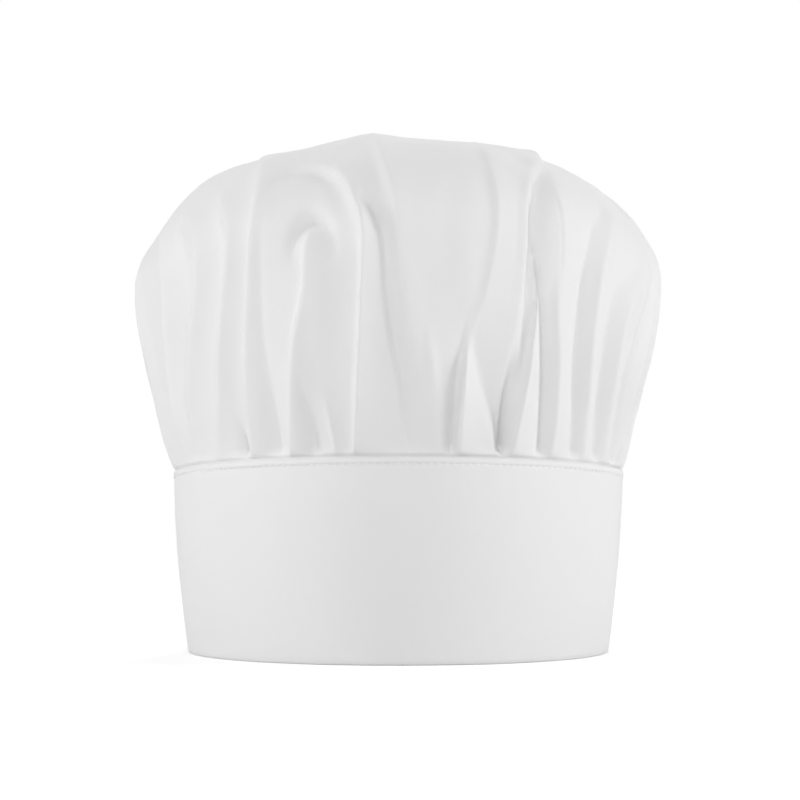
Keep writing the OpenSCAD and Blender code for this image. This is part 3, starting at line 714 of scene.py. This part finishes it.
# The end that lies under the tab is closed. The other is open, as the strip runs on there as the tab.
end_verts = pick_verts(band_shape, turn < UNDER_END + 0.01)
top_pair = [v for v in end_verts if v.co.z > (BAND_H - 0.01) * MM]
end_edges = [e for e in band_shape.edges if e.is_boundary and all(v in end_verts for v in e.verts)]
end_edges += bmesh.ops.contextual_create(band_shape, geom=top_pair)["edges"]
bmesh.ops.edgeloop_fill(band_shape, edges=end_edges)
bmesh.ops.recalc_face_normals(band_shape, faces=band_shape.faces)
band_cloth = new_piece("band_strip", band_shape, band_twill)
flat_ends(band_cloth, UNDER_END, ROOT)
thicken(band_cloth, CLOTH)
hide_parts("band_cloth")
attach(band_cloth, "hat")
print("band:", len(band_cloth.data.polygons), "faces")

# %% [markdown]
# ## The closure tab
#
# The tab carries the strip on past the slit and over its other end. It is made as a
# flattened tube: folded at the rim, turned in along the top and closed at its free end. It
# steps outwards near its root, to lie on top of the two tapes. It could turn stiffly about
# its hinge, but the cloth would crack there, so it is not attached to the tab's body; its
# place is baked into its mesh.

# %% The tab's step and section
LOOP_T, HOOK_T, STRIP_GAP, FACE_GAP = 0.8, 0.8, 0.8, 0.05
TAB_LEN, TAB_INSET, STEP_LEN = 78.0, 0.6, 14.0
TURN_IN = 0.9         # how high the turned-in upper edge is
SAG_MM, SAG_ROUND, SAG_UP = 0.25, 11, 50     # how uneven the tab lies: mm, over degrees round and mm up
END_LIFT, END_LEN = 0.5, 9.0     # how far its free corner stands off, and from how far before it
ROLL_FROM, ROLL_LOST = 60, 0.9   # the seam's roll is above this height, and this share of it dies out
TAB_LIFT = LOOP_T + HOOK_T + STRIP_GAP + 2 * FACE_GAP + BAND_T
TAB_END = ROOT + along_band(TAB_LEN)
TAB_COLUMNS = 150


def step_share(turn):
    """How much of its step outwards the tab has taken at a direction, from 0 to 1."""
    return smooth_step((turn - ROOT) / along_band(STEP_LEN))


def tab_step(turn):
    """How far the tab has stepped outwards at a direction, in mm."""
    return TAB_LIFT * step_share(turn)


def tab_section():
    """The tab's cloth as a closed loop in section: the folded strip, with its upper edges turned in."""
    middle = float(band_radius(BAND_H)) - BAND_T / 2
    top = [(middle - BAND_T / 2 * math.cos(turn), BAND_H - TURN_IN + TURN_IN * math.sin(turn))
           for turn in np.linspace(0, math.pi, 7)[1:-1]]
    return [p for p in section if p[1] < BAND_H - TURN_IN] + top


def tab_points(turn, r, z):
    """Narrows the tab, steps it outwards and lets the seam's roll die out along it."""
    out = step_share(turn)
    up = np.clip(z / BAND_H, 0, 1)
    inset_z = z + out * TAB_INSET * (1 - 2 * up)
    roll = np.where(r > band_radius(z) - BAND_T / 2, r - band_radius(z), 0) * (z > ROLL_FROM)
    sag = SAG_MM * slow_noise(np.c_[turn / SAG_ROUND, z / SAG_UP, z * 0], 1.0, seed=2.9)
    free_end = smooth_step((turn - TAB_END + along_band(END_LEN)) / along_band(END_LEN))
    lift = tab_step(turn) - roll * out * ROLL_LOST + out * np.abs(sag) + END_LIFT * free_end * up ** 2
    return at(turn, r + lift, inset_z)


tab_loop = tab_section()
tab_loop = tab_loop + tab_loop[:1]
tab_shape, row, turn, r, z = wrap_section(tab_loop, ROOT, TAB_END - ROOT, TAB_COLUMNS)
move_to(tab_shape, tab_points(turn, r, z))
lay_strip_weave(tab_shape, tab_loop, turn, row)
seam_verts = pick_verts(tab_shape, (row == 0) | (row == len(tab_loop) - 1))
bmesh.ops.remove_doubles(tab_shape, verts=seam_verts, dist=MERGE)

# The free end is closed. The root is open, as the band's strip comes in there.
free_edges = [e for e in tab_shape.edges if e.is_boundary
              and all(math.degrees(math.atan2(v.co.y, v.co.x)) > TAB_END - 0.1 for v in e.verts)]
bmesh.ops.holes_fill(tab_shape, edges=free_edges)
bmesh.ops.recalc_face_normals(tab_shape, faces=tab_shape.faces)
tab_cloth = new_piece("tab_strip", tab_shape, band_twill)
flat_ends(tab_cloth, ROOT, TAB_END)
thicken(tab_cloth, CLOTH)
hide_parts("tab_cloth")
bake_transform(tab_cloth)
print("tab:", len(tab_cloth.data.polygons), "faces, lifted", TAB_LIFT, "mm")

# %% [markdown]
# ## Stitches
#
# A line of lockstitch is a row of short threads that go down into the cloth at each end. It
# could be one long cord, but separate stitches catch the light one by one. Each is a small
# stretched ball, sunk at both ends. A row along the band is one stitch spun round the hat,
# and a row along a path is one stitch put down at each step.

# %% Stitch helpers
def one_stitch(shape, place_m, along_dir, out_dir, length=STITCH_MM, thick=THREAD_MM):
    """Adds one stitch at a point in metres, lying along one direction, with the other off the cloth."""
    x = Vector(along_dir).normalized()
    z = (Vector(out_dir) - x * Vector(out_dir).dot(x)).normalized()
    y = z.cross(x)
    turn = Matrix((x, y, z)).transposed().to_4x4()
    stretch = Matrix.Diagonal((length / 2 * MM, thick / 2 * MM, thick / 2 * MM, 1))
    return bmesh.ops.create_uvsphere(shape, u_segments=6, v_segments=5, radius=1.0,
                                     matrix=Matrix.Translation(place_m) @ turn @ stretch)["verts"]


def repeat_round(shape, verts, step, count):
    """Repeats part of a shape round the hat, with a step in degrees."""
    geom = verts + list({e for v in verts for e in v.link_edges})
    geom += list({f for v in verts for f in v.link_faces})
    bmesh.ops.spin(shape, geom=geom, cent=(0, 0, 0), axis=(0, 0, 1), angle=math.radians(step * count),
                   steps=count, use_duplicate=True, use_merge=False)


def stitches_round(shape, r, z, first, step, count):
    """A row of stitches round the hat, at a radius and a height in mm and with a step in degrees."""
    radial = Vector((math.cos(math.radians(first)), math.sin(math.radians(first)), 0))
    tangent = Vector((-radial.y, radial.x, 0))
    verts = one_stitch(shape, radial * r * MM + Vector((0, 0, z * MM)), tangent, radial)
    repeat_round(shape, verts, step, count)


def stitches_along(shape, points, outs):
    """A row of stitches along a path of points in mm, with the direction off the cloth at each."""
    points, outs = np.array(points, float), np.array(outs, float)
    reach = np.concatenate([[0], np.cumsum(np.linalg.norm(np.diff(points, axis=0), axis=1))])
    count = max(1, int(reach[-1] / PITCH_MM))
    for i in range(count):
        mid = (i + 0.5) * reach[-1] / count
        here, ahead, behind = (Vector([np.interp(mid + step, reach, points[:, k]) for k in range(3)])
                               for step in (0, 0.6, -0.6))
        out = [np.interp(mid, reach, outs[:, k]) for k in range(3)]
        one_stitch(shape, here * MM, ahead - behind, out)


def finish_stitches(name, shape, replaced, body="hat"):
    """Makes a line of stitches a piece that rides on a body, or one that is left on no body, as the tab's
    cloth is.
    """
    piece = new_piece(name, shape, thread_white)
    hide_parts(replaced)
    if body == "bend":
        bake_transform(piece)
    else:
        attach(piece, body)


# %% Stitches along the seam
NEAR_FACE, ON_FACE = 0.05, 0.02     # how far the middle of a stitch, or the foot of a loop, is from its face
seam_shape = bmesh.new()
seam_r = float(band_radius(SEAM_STITCH_Z))
stitches_round(seam_shape, seam_r - NEAR_FACE, SEAM_STITCH_Z, *seam_stitches())
stitches_round(seam_shape, seam_r - BAND_T - ON_FACE, SEAM_STITCH_Z, *seam_stitches())
finish_stitches("seam_stitches", seam_shape, "seam_topstitch")
print(seam_stitches()[2], "stitches along each side of the seam")


# %% Stitches on the ends and tapes
def on_band(turn, z, lift):
    """A point over the band's face in mm, and the direction off it."""
    out = np.array([math.cos(math.radians(turn)), math.sin(math.radians(turn)), 0])
    return (float(band_radius(z)) + lift) * out + (0, 0, z), out


def box_path(turn_0, turn_1, z_0, z_1, lift):
    """A closed box of stitching over the band's face."""
    corners = [(t, z_0) for t in np.linspace(turn_0, turn_1, 20)]
    corners += [(turn_1, z) for z in np.linspace(z_0, z_1, 9)[1:]]
    corners += [(t, z_1) for t in np.linspace(turn_1, turn_0, 20)[1:]]
    corners += [(turn_0, z) for z in np.linspace(z_1, z_0, 9)[1:]]
    return zip(*[on_band(t, z, lift) for t, z in corners])


STITCH_IN = 1.8       # how far a box of stitching is inside the edges of a tape or a label


def sew_box(name, replaced, body, turn_0, turn_1, z_0, z_1, lift, facing=1):
    """A box of stitching along a strip's edges, with its threads facing out (1) or in (-1)."""
    shape = bmesh.new()
    round_in = along_band(STITCH_IN)
    points, outs = box_path(turn_0 + round_in, turn_1 - round_in, z_0 + STITCH_IN, z_1 - STITCH_IN, lift)
    stitches_along(shape, points, facing * np.array(outs))
    finish_stitches(name, shape, replaced, body)


STRIP_MID, STRIP_MARGIN = BAND_H / 2, 5.0
LOOP_W, LOOP_LEN, HOOK_W, HOOK_LEN = 25.0, 100.0, 20.0, 50.0
LOOP_FROM = UNDER_END + along_band(STRIP_MARGIN)
LOOP_TO = LOOP_FROM + along_band(LOOP_LEN)
HOOK_TO = TAB_END - along_band(STRIP_MARGIN)
HOOK_FROM = HOOK_TO - along_band(HOOK_LEN)
HOOK_FACE = FACE_GAP + LOOP_T + STRIP_GAP + HOOK_T     # where the hook tape is sewn to the tab
GROUND = 0.4          # the woven ground of both tapes, which the stitches lie on
sew_box("loop_tape_stitches", "loop_strip_stitching", "hat", LOOP_FROM, LOOP_TO,
        STRIP_MID - LOOP_W / 2, STRIP_MID + LOOP_W / 2, FACE_GAP + GROUND + NEAR_FACE)
sew_box("hook_tape_stitches", "hook_strip_stitching", "closure_tab", HOOK_FROM, HOOK_TO,
        STRIP_MID - HOOK_W / 2, STRIP_MID + HOOK_W / 2, HOOK_FACE - GROUND - NEAR_FACE)

EDGE_IN, EDGE_FROM = 3.0, 9.0     # how far inside an edge its stitches are, and how far from the root
underlap_stitches = bmesh.new()
across = [on_band(UNDER_END + along_band(EDGE_IN), z, NEAR_FACE)
          for z in np.linspace(EDGE_IN, BAND_H - 2 * EDGE_IN, 15)]
stitches_along(underlap_stitches, *zip(*across))
finish_stitches("underlap_stitches", underlap_stitches, "underlap_stitching")

tab_stitches = bmesh.new()
edge_turns = np.linspace(ROOT + along_band(EDGE_FROM), TAB_END - along_band(EDGE_IN), 40)
low, high = TAB_INSET + EDGE_IN, BAND_H - TAB_INSET - EDGE_IN
edge_path = [(t, low) for t in edge_turns] + [(edge_turns[-1], z) for z in np.linspace(low, high, 15)[1:]]
edge_path += [(t, high) for t in edge_turns[::-1][1:]]
edge_points = [on_band(t, z, float(tab_step(t)) + SAG_MM) for t, z in edge_path]
stitches_along(tab_stitches, *zip(*edge_points))
finish_stitches("tab_edge_stitches", tab_stitches, "tab_edge_stitching", body="bend")
print("loop tape from", round(LOOP_FROM, 1), "to", round(LOOP_TO, 1), "degrees")

# %% [markdown]
# ## Hook-and-loop tapes
#
# Both tapes are woven nylon with a bare selvedge. One carries a pile of soft loops, and the
# other rows of stiff hooks. They could be a rough texture, but the open tab shows them close
# to edge-on. So a row of loops or hooks is one small arc of thread spun round the hat, on a
# flat strip that follows the band. The ground is a shade darker, as it lies in the pile's own
# shadow.

# %% Tape materials
GRAIN_MM = 0.1        # how high the threads of the small parts stand


def grain(name, colour, roughness, spacing_mm, relief, sheen=0.0, specular=0.3):
    """A plain weave on Object coordinates for small parts, with threads of the given spacing."""
    material, tree, shader = new_material(name, colour, roughness, sheen, specular)
    spot = add_node(tree, "ShaderNodeTexCoord")
    threads = add_node(tree, "ShaderNodeTexVoronoi", {
        "Vector": spot.outputs["Object"], "Scale": 1 / (spacing_mm * MM)})
    bump = add_node(tree, "ShaderNodeBump", {
        "Height": threads.outputs["Distance"], "Strength": relief, "Distance": GRAIN_MM * MM})
    tree.links.new(bump.outputs["Normal"], shader.inputs["Normal"])
    return material


# Brushed loops are dull and soft, as light is lost between them. Moulded hooks are harder, with
# small highlights. The woven ground is flat and even, and its colour is painted a shade darker
# than the pile's, as shade from the pile over it.
loop_nylon = new_material("brushed nylon loop pile", "#EAEAEA", 0.8, sheen=0.2)[0]
hook_nylon = new_material("moulded nylon hooks", "#E4E4E4", 0.45, specular=0.5)[0]
tape_ground = grain("woven nylon tape", "#DEDEDE", roughness=0.7, spacing_mm=0.6, relief=0.5)
print("tape materials:", loop_nylon.name, "/", hook_nylon.name, "/", tape_ground.name)


# %% Tape helpers
TAPE_COLUMNS = 60
SELVEDGE = 2.8        # the bare edge of a tape


def nylon_arc(shape, turn, z, lift, thread, across, sweep, facing, leaning):
    """One loop or hook, in mm: an arc of thread swept through an angle, facing out (1) or in (-1)."""
    base, out = on_band(turn, z, lift)
    tangent = Vector((-out[1], out[0], leaning)).normalized()
    upwards = Vector(out) * facing
    centre = Vector(base) * MM
    foot = Matrix.Translation(centre + tangent * across / 2 * MM)
    standing = upwards.to_track_quat("Z", "Y").to_matrix().to_4x4()
    ring = bmesh.ops.create_circle(shape, segments=4, radius=thread / 2 * MM, matrix=foot @ standing)
    verts = ring["verts"]
    edges = list({e for v in verts for e in v.link_edges})
    bmesh.ops.spin(shape, geom=verts + edges, cent=centre, axis=tangent.cross(upwards),
                   angle=math.radians(sweep), steps=6, use_merge=False, use_duplicate=False)


def make_tape(name, replaced, body, turn_0, turn_1, width, lift_0, lift_1):
    """A tape's ground as a thin slab that follows the band, with closed ends."""
    heights = np.linspace(STRIP_MID - width / 2, STRIP_MID + width / 2, 7)
    face = [(float(band_radius(z)) + lift_1, z) for z in heights]
    back = [(float(band_radius(z)) + lift_0, z) for z in heights[::-1]]
    shape, row, turn, r, z = wrap_section(face + back + face[:1], turn_0, turn_1 - turn_0, TAPE_COLUMNS)
    move_to(shape, at(turn, r, z))
    bmesh.ops.remove_doubles(shape, verts=shape.verts, dist=MERGE)
    bmesh.ops.holes_fill(shape, edges=[e for e in shape.edges if e.is_boundary])
    bmesh.ops.recalc_face_normals(shape, faces=shape.faces)
    piece = new_piece(name, shape, tape_ground, smooth=False)
    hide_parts(replaced)
    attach(piece, body)


def add_pile(name, material, body, slot, turn_0, turn_1, width, lift, gap_round, gap_up, **arc):
    """Rows of loops or hooks between a tape's selvedges. Every other row is shifted by half a gap."""
    shape = bmesh.new()
    turn_0, turn_1 = turn_0 + along_band(SELVEDGE), turn_1 - along_band(SELVEDGE)
    z_0, z_1 = STRIP_MID - width / 2 + SELVEDGE, STRIP_MID + width / 2 - SELVEDGE
    rows = int((z_1 - z_0) / gap_up)
    for row in range(rows + 1):
        first = turn_0 + (along_band(gap_round) / 2 if row % 2 else 0)
        count = int((turn_1 - first) / along_band(gap_round))
        leaning = 0.5 if row % 2 else -0.5
        before = set(shape.verts)
        nylon_arc(shape, first, z_0 + (z_1 - z_0) * row / rows, lift, leaning=leaning, **arc)
        repeat_round(shape, [v for v in shape.verts if v not in before], along_band(gap_round), count)
    piece = new_piece(name, shape, material)
    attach(piece, body)
    print(name + ":", len(piece.data.polygons), "faces in", rows + 1, "rows")


# %% Make the tapes
make_tape("loop_tape", "loop_strip", "hat", LOOP_FROM, LOOP_TO, LOOP_W,
          FACE_GAP, FACE_GAP + GROUND)
add_pile("loop_pile", loop_nylon, "hat", "loop_pile", LOOP_FROM, LOOP_TO, LOOP_W,
         FACE_GAP + GROUND - NEAR_FACE, gap_round=1.2, gap_up=0.95,
         thread=0.3, across=0.9, sweep=180, facing=1)
make_tape("hook_tape", "hook_strip", "closure_tab", HOOK_FROM, HOOK_TO, HOOK_W,
          HOOK_FACE - GROUND, HOOK_FACE)
add_pile("hook_field", hook_nylon, "closure_tab", "hook_tape", HOOK_FROM, HOOK_TO, HOOK_W,
         HOOK_FACE - GROUND + NEAR_FACE, gap_round=1.5, gap_up=1.3,
         thread=0.26, across=0.75, sweep=130, facing=-1)

# %% [markdown]
# ## Inside the cloth
#
# The stiffener is a bonded felt of fibres, cream white and without a weave. It fills the
# folded strip, so the CAD solid is right for the band. The tab's stiffener could stay stiff,
# but it would come through its cloth at the bend, so it is a copy that, like the tab's cloth,
# is attached to no body.

# %% Stiffener
CLUMPS_PER_MM = 0.9     # bonded fibres lie in clumps of about a millimetre
felt, felt_tree, felt_shader = new_material("bonded non-woven felt", "#E9E6DC", 0.95)
felt_place = add_node(felt_tree, "ShaderNodeTexCoord")
felt_fibres = add_node(felt_tree, "ShaderNodeTexNoise", {
    "Vector": felt_place.outputs["Object"], "Scale": CLUMPS_PER_MM / MM, "Detail": 4.0})
felt_bump = add_node(felt_tree, "ShaderNodeBump", {
    "Height": felt_fibres, "Strength": 0.4, "Distance": GRAIN_MM * MM})
felt_tree.links.new(felt_bump.outputs["Normal"], felt_shader.inputs["Normal"])
nodes["band_interlining"].material_slots[0].material = felt

felt_shape = bmesh.new()
felt_shape.from_mesh(nodes["tab_interlining"].data)
bmesh.ops.remove_doubles(felt_shape, verts=felt_shape.verts, dist=0.005 * MM)
tab_felt = new_piece("tab_stiffener", felt_shape, felt, smooth=False)
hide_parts("tab_interlining")
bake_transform(tab_felt)
print("tab's stiffener:", len(tab_felt.data.polygons), "faces")

# %% [markdown]
# ## The slit and the label
#
# A folded cotton tape binds the slit's two edges, and a bar of dense stitches holds the tape's
# turn at the top. The label is a blank strip of satin, sewn flat to the band's inside. Both
# could be made anew, but flat narrow pieces look right as CAD solids, so only their finish
# and their threads are made here.

# %% Binding, bar and label finishes
# Cotton tape is as matt as the cloth, with a plain weave. Satin is smoother, with a faint shine.
binding_cloth = grain("folded cotton tape", "#ECECEC", roughness=0.85, spacing_mm=0.7, relief=0.4, sheen=0.1)
satin = grain("woven polyester satin", "#F4F4F4", roughness=0.4, spacing_mm=0.4, relief=0.15,
              sheen=0.2, specular=0.5)
nodes["slit_binding"].material_slots[0].material = binding_cloth
nodes["care_label"].material_slots[0].material = satin
print("finishes:", binding_cloth.name, "/", satin.name)

# %% Binding and bar stitches
BINDING_W, BINDING_T = 5.0, 0.5
THREAD_OUT = BINDING_W - 1      # how far out from the slit's edge the binding's thread runs
THREAD_FOOT = BAND_H + 1.5      # and the height where it starts and ends
BAR_W, BAR_PITCH = 8.4, 0.42
BAR_STITCH, BAR_THREAD = 2.4, 0.5     # the length and thickness of the bar's stitches
BAR_LIFT = 0.35       # they lie over the binding's thread, so their middles are further off
BAR_SLANT = (0.15, 0, 1)        # they run upwards, a little aslant


def slit_side(side, out, z):
    """A point beside the slit, out from its edge, over the binding, with the direction off it."""
    lean = math.atan2(SLIT_W / 2, SLIT_H)
    x = side * ((SLIT_TOP - z) * math.tan(lean) + out / math.cos(lean))
    r = float(crown_outline(z)[0]) + FACE_GAP + BINDING_T + ON_FACE
    out_dir = np.array([x / r, math.sqrt(1 - (x / r) ** 2), 0])
    return r * out_dir + (0, 0, z), out_dir


slit_stitches = bmesh.new()
turn_z = SLIT_TOP + 1.2 * THREAD_OUT
path = [slit_side(1, THREAD_OUT, z) for z in np.linspace(THREAD_FOOT, turn_z, 16)]
path += [slit_side(-1, THREAD_OUT, z) for z in np.linspace(turn_z, THREAD_FOOT, 16)]
stitches_along(slit_stitches, *zip(*path))
finish_stitches("slit_stitches", slit_stitches, "slit_binding_stitching")

bar_shape = bmesh.new()
bar_z = SLIT_TOP + 1
for x in np.arange(-BAR_W / 2, BAR_W / 2 + 0.01, BAR_PITCH):
    r = float(crown_outline(bar_z)[0]) + FACE_GAP + BINDING_T + BAR_LIFT
    out_dir = Vector((x / r, math.sqrt(1 - (x / r) ** 2), 0))
    spot = (out_dir * r + Vector((0, 0, bar_z))) * MM
    one_stitch(bar_shape, spot, BAR_SLANT, out_dir, length=BAR_STITCH, thick=BAR_THREAD)
finish_stitches("slit_bar", bar_shape, "slit_bartack")
print("the binding's thread turns", round(turn_z, 1), "mm up, and the bar is", bar_z, "mm up")

# %% Label stitches
LABEL_TURN, LABEL_W, LABEL_H, LABEL_T = 90 + 35, 32.0, 24.0, 0.4
LABEL_TOP = BAND_H - 3.8     # just under the seam's stitches
half = along_band(LABEL_W / 2)
sew_box("label_stitches", "care_label_stitching", "hat", LABEL_TURN - half, LABEL_TURN + half,
        LABEL_TOP - LABEL_H, LABEL_TOP, -(BAND_T + 2 * FACE_GAP + LABEL_T + ON_FACE), facing=-1)
print("label", LABEL_W, "by", LABEL_H, "mm, inside the band")

# %% [markdown]
# ## Floor, light and camera
#
# A product picture of a white hat needs a white ground that is a little brighter than the
# cloth, and light that comes softly from both sides, so that the middle of the band is the
# darkest part and each fold has a lit side and a shaded one. The lamps in front and above
# keep the folds' shadows open, and the one behind is for the back. The ground could be lit
# until it is white, but it would light the hat from below. So the paper glows for the camera
# alone, and it still takes the hat's shadow.

# %% Floor
FLOOR_SIDE = 40.0     # metres from the middle to the edge, so that no edge shows
FADE_FROM, FADE_TO = 0.25, 1.4     # metres over which the paper's glow grows
GLOW_NEAR, GLOW_FAR = 0.3, 0.8     # its strength there
floor_shape = bmesh.new()
bmesh.ops.create_grid(floor_shape, x_segments=1, y_segments=1, size=FLOOR_SIDE)
floor_paper = bpy.data.materials.new("white studio paper")
floor_paper.use_nodes = True
tree = floor_paper.node_tree
tree.nodes.clear()
spot = add_node(tree, "ShaderNodeTexCoord")
away = add_node(tree, "ShaderNodeVectorMath", {0: spot.outputs["Object"]}, operation="LENGTH")
fade = add_node(tree, "ShaderNodeMapRange", {
    "Value": away.outputs["Value"], "From Min": FADE_FROM, "From Max": FADE_TO,
    "To Min": GLOW_NEAR, "To Max": GLOW_FAR})
seen = add_node(tree, "ShaderNodeLightPath")
seen_glow = add_node(tree, "ShaderNodeMath", {
    0: fade.outputs["Result"], 1: seen.outputs["Is Camera Ray"]}, operation="MULTIPLY")
paper = add_node(tree, "ShaderNodeBsdfDiffuse", {"Color": linear("#F2F2F2")})
glow = add_node(tree, "ShaderNodeEmission", {"Color": linear("#FFFFFF"), "Strength": seen_glow})
both = add_node(tree, "ShaderNodeAddShader", {0: paper, 1: glow})
add_node(tree, "ShaderNodeOutputMaterial", {"Surface": both})
floor = new_piece("floor", floor_shape, floor_paper)
print("floor:", 2 * FLOOR_SIDE, "m wide")

# %% World
ROOM_LIGHT = 0.27     # the light that the white room gives from all sides
world = bpy.data.worlds.new("studio")
bpy.context.scene.world = world
world.use_nodes = True
tree = world.node_tree
tree.nodes.clear()
seen = add_node(tree, "ShaderNodeLightPath")
room = add_node(tree, "ShaderNodeBackground", {"Color": linear("#FFFFFF"), "Strength": ROOM_LIGHT})
white = add_node(tree, "ShaderNodeBackground", {"Color": linear("#FFFFFF"), "Strength": 1.0})
pick = add_node(tree, "ShaderNodeMixShader", {0: seen.outputs["Is Camera Ray"], 1: room, 2: white})
add_node(tree, "ShaderNodeOutputWorld", {"Surface": pick})
print("room light:", ROOM_LIGHT)

# %% Lamps
MIDDLE = (0, 0, 0.12)     # metres: what the lamps are aimed at
LAMP_FAR, LAMP_W, LAMP_H = 1.25, 0.5, 0.8
LAMPS = [     # each soft box: its name, its turn from the front and its rise in degrees, and its watts
    ("left_soft_box", -82, 10, 5.5), ("right_soft_box", 82, 10, 7.4), ("left_fill", -40, 10, 1.3),
    ("front_soft_box", 0, 27, 4.5), ("top_soft_box", 0, 72, 0.9), ("back_soft_box", 180, 55, 5.5)]
for name, turn, up, watts in LAMPS:
    lamp = bpy.data.lights.new(name, "AREA")
    lamp.shape = "RECTANGLE"
    lamp.size, lamp.size_y = LAMP_W, LAMP_H
    lamp.energy = watts
    turn, up = math.radians(turn), math.radians(up)
    out = (math.sin(turn) * math.cos(up), -math.cos(turn) * math.cos(up), math.sin(up))
    spot = [m + o * LAMP_FAR for m, o in zip(MIDDLE, out)]
    holder = bpy.data.objects.new(name, lamp)
    holder.location = spot
    holder.rotation_euler = (Vector(MIDDLE) - Vector(spot)).to_track_quat("-Z", "Y").to_euler()
    bpy.context.scene.collection.objects.link(holder)
print(len(LAMPS), "lamps")

# %% Camera
CAMERA_AT = (0.0007, -0.6, 0.0389)     # metres: near the hat, and level with the middle of the band
CAMERA_TILT, LENS_MM = 7.09, 58.9      # the tilt is upwards, in degrees
camera_data = bpy.data.cameras.new("camera")
camera_data.lens = LENS_MM
camera_data.sensor_width = 36.0
camera = bpy.data.objects.new("camera", camera_data)
camera.location = CAMERA_AT
camera.rotation_euler = (math.radians(90 + CAMERA_TILT), 0, 0)
bpy.context.scene.collection.objects.link(camera)
bpy.context.scene.camera = camera
bpy.context.scene.view_settings.view_transform = "Standard"
print("camera at", CAMERA_AT)
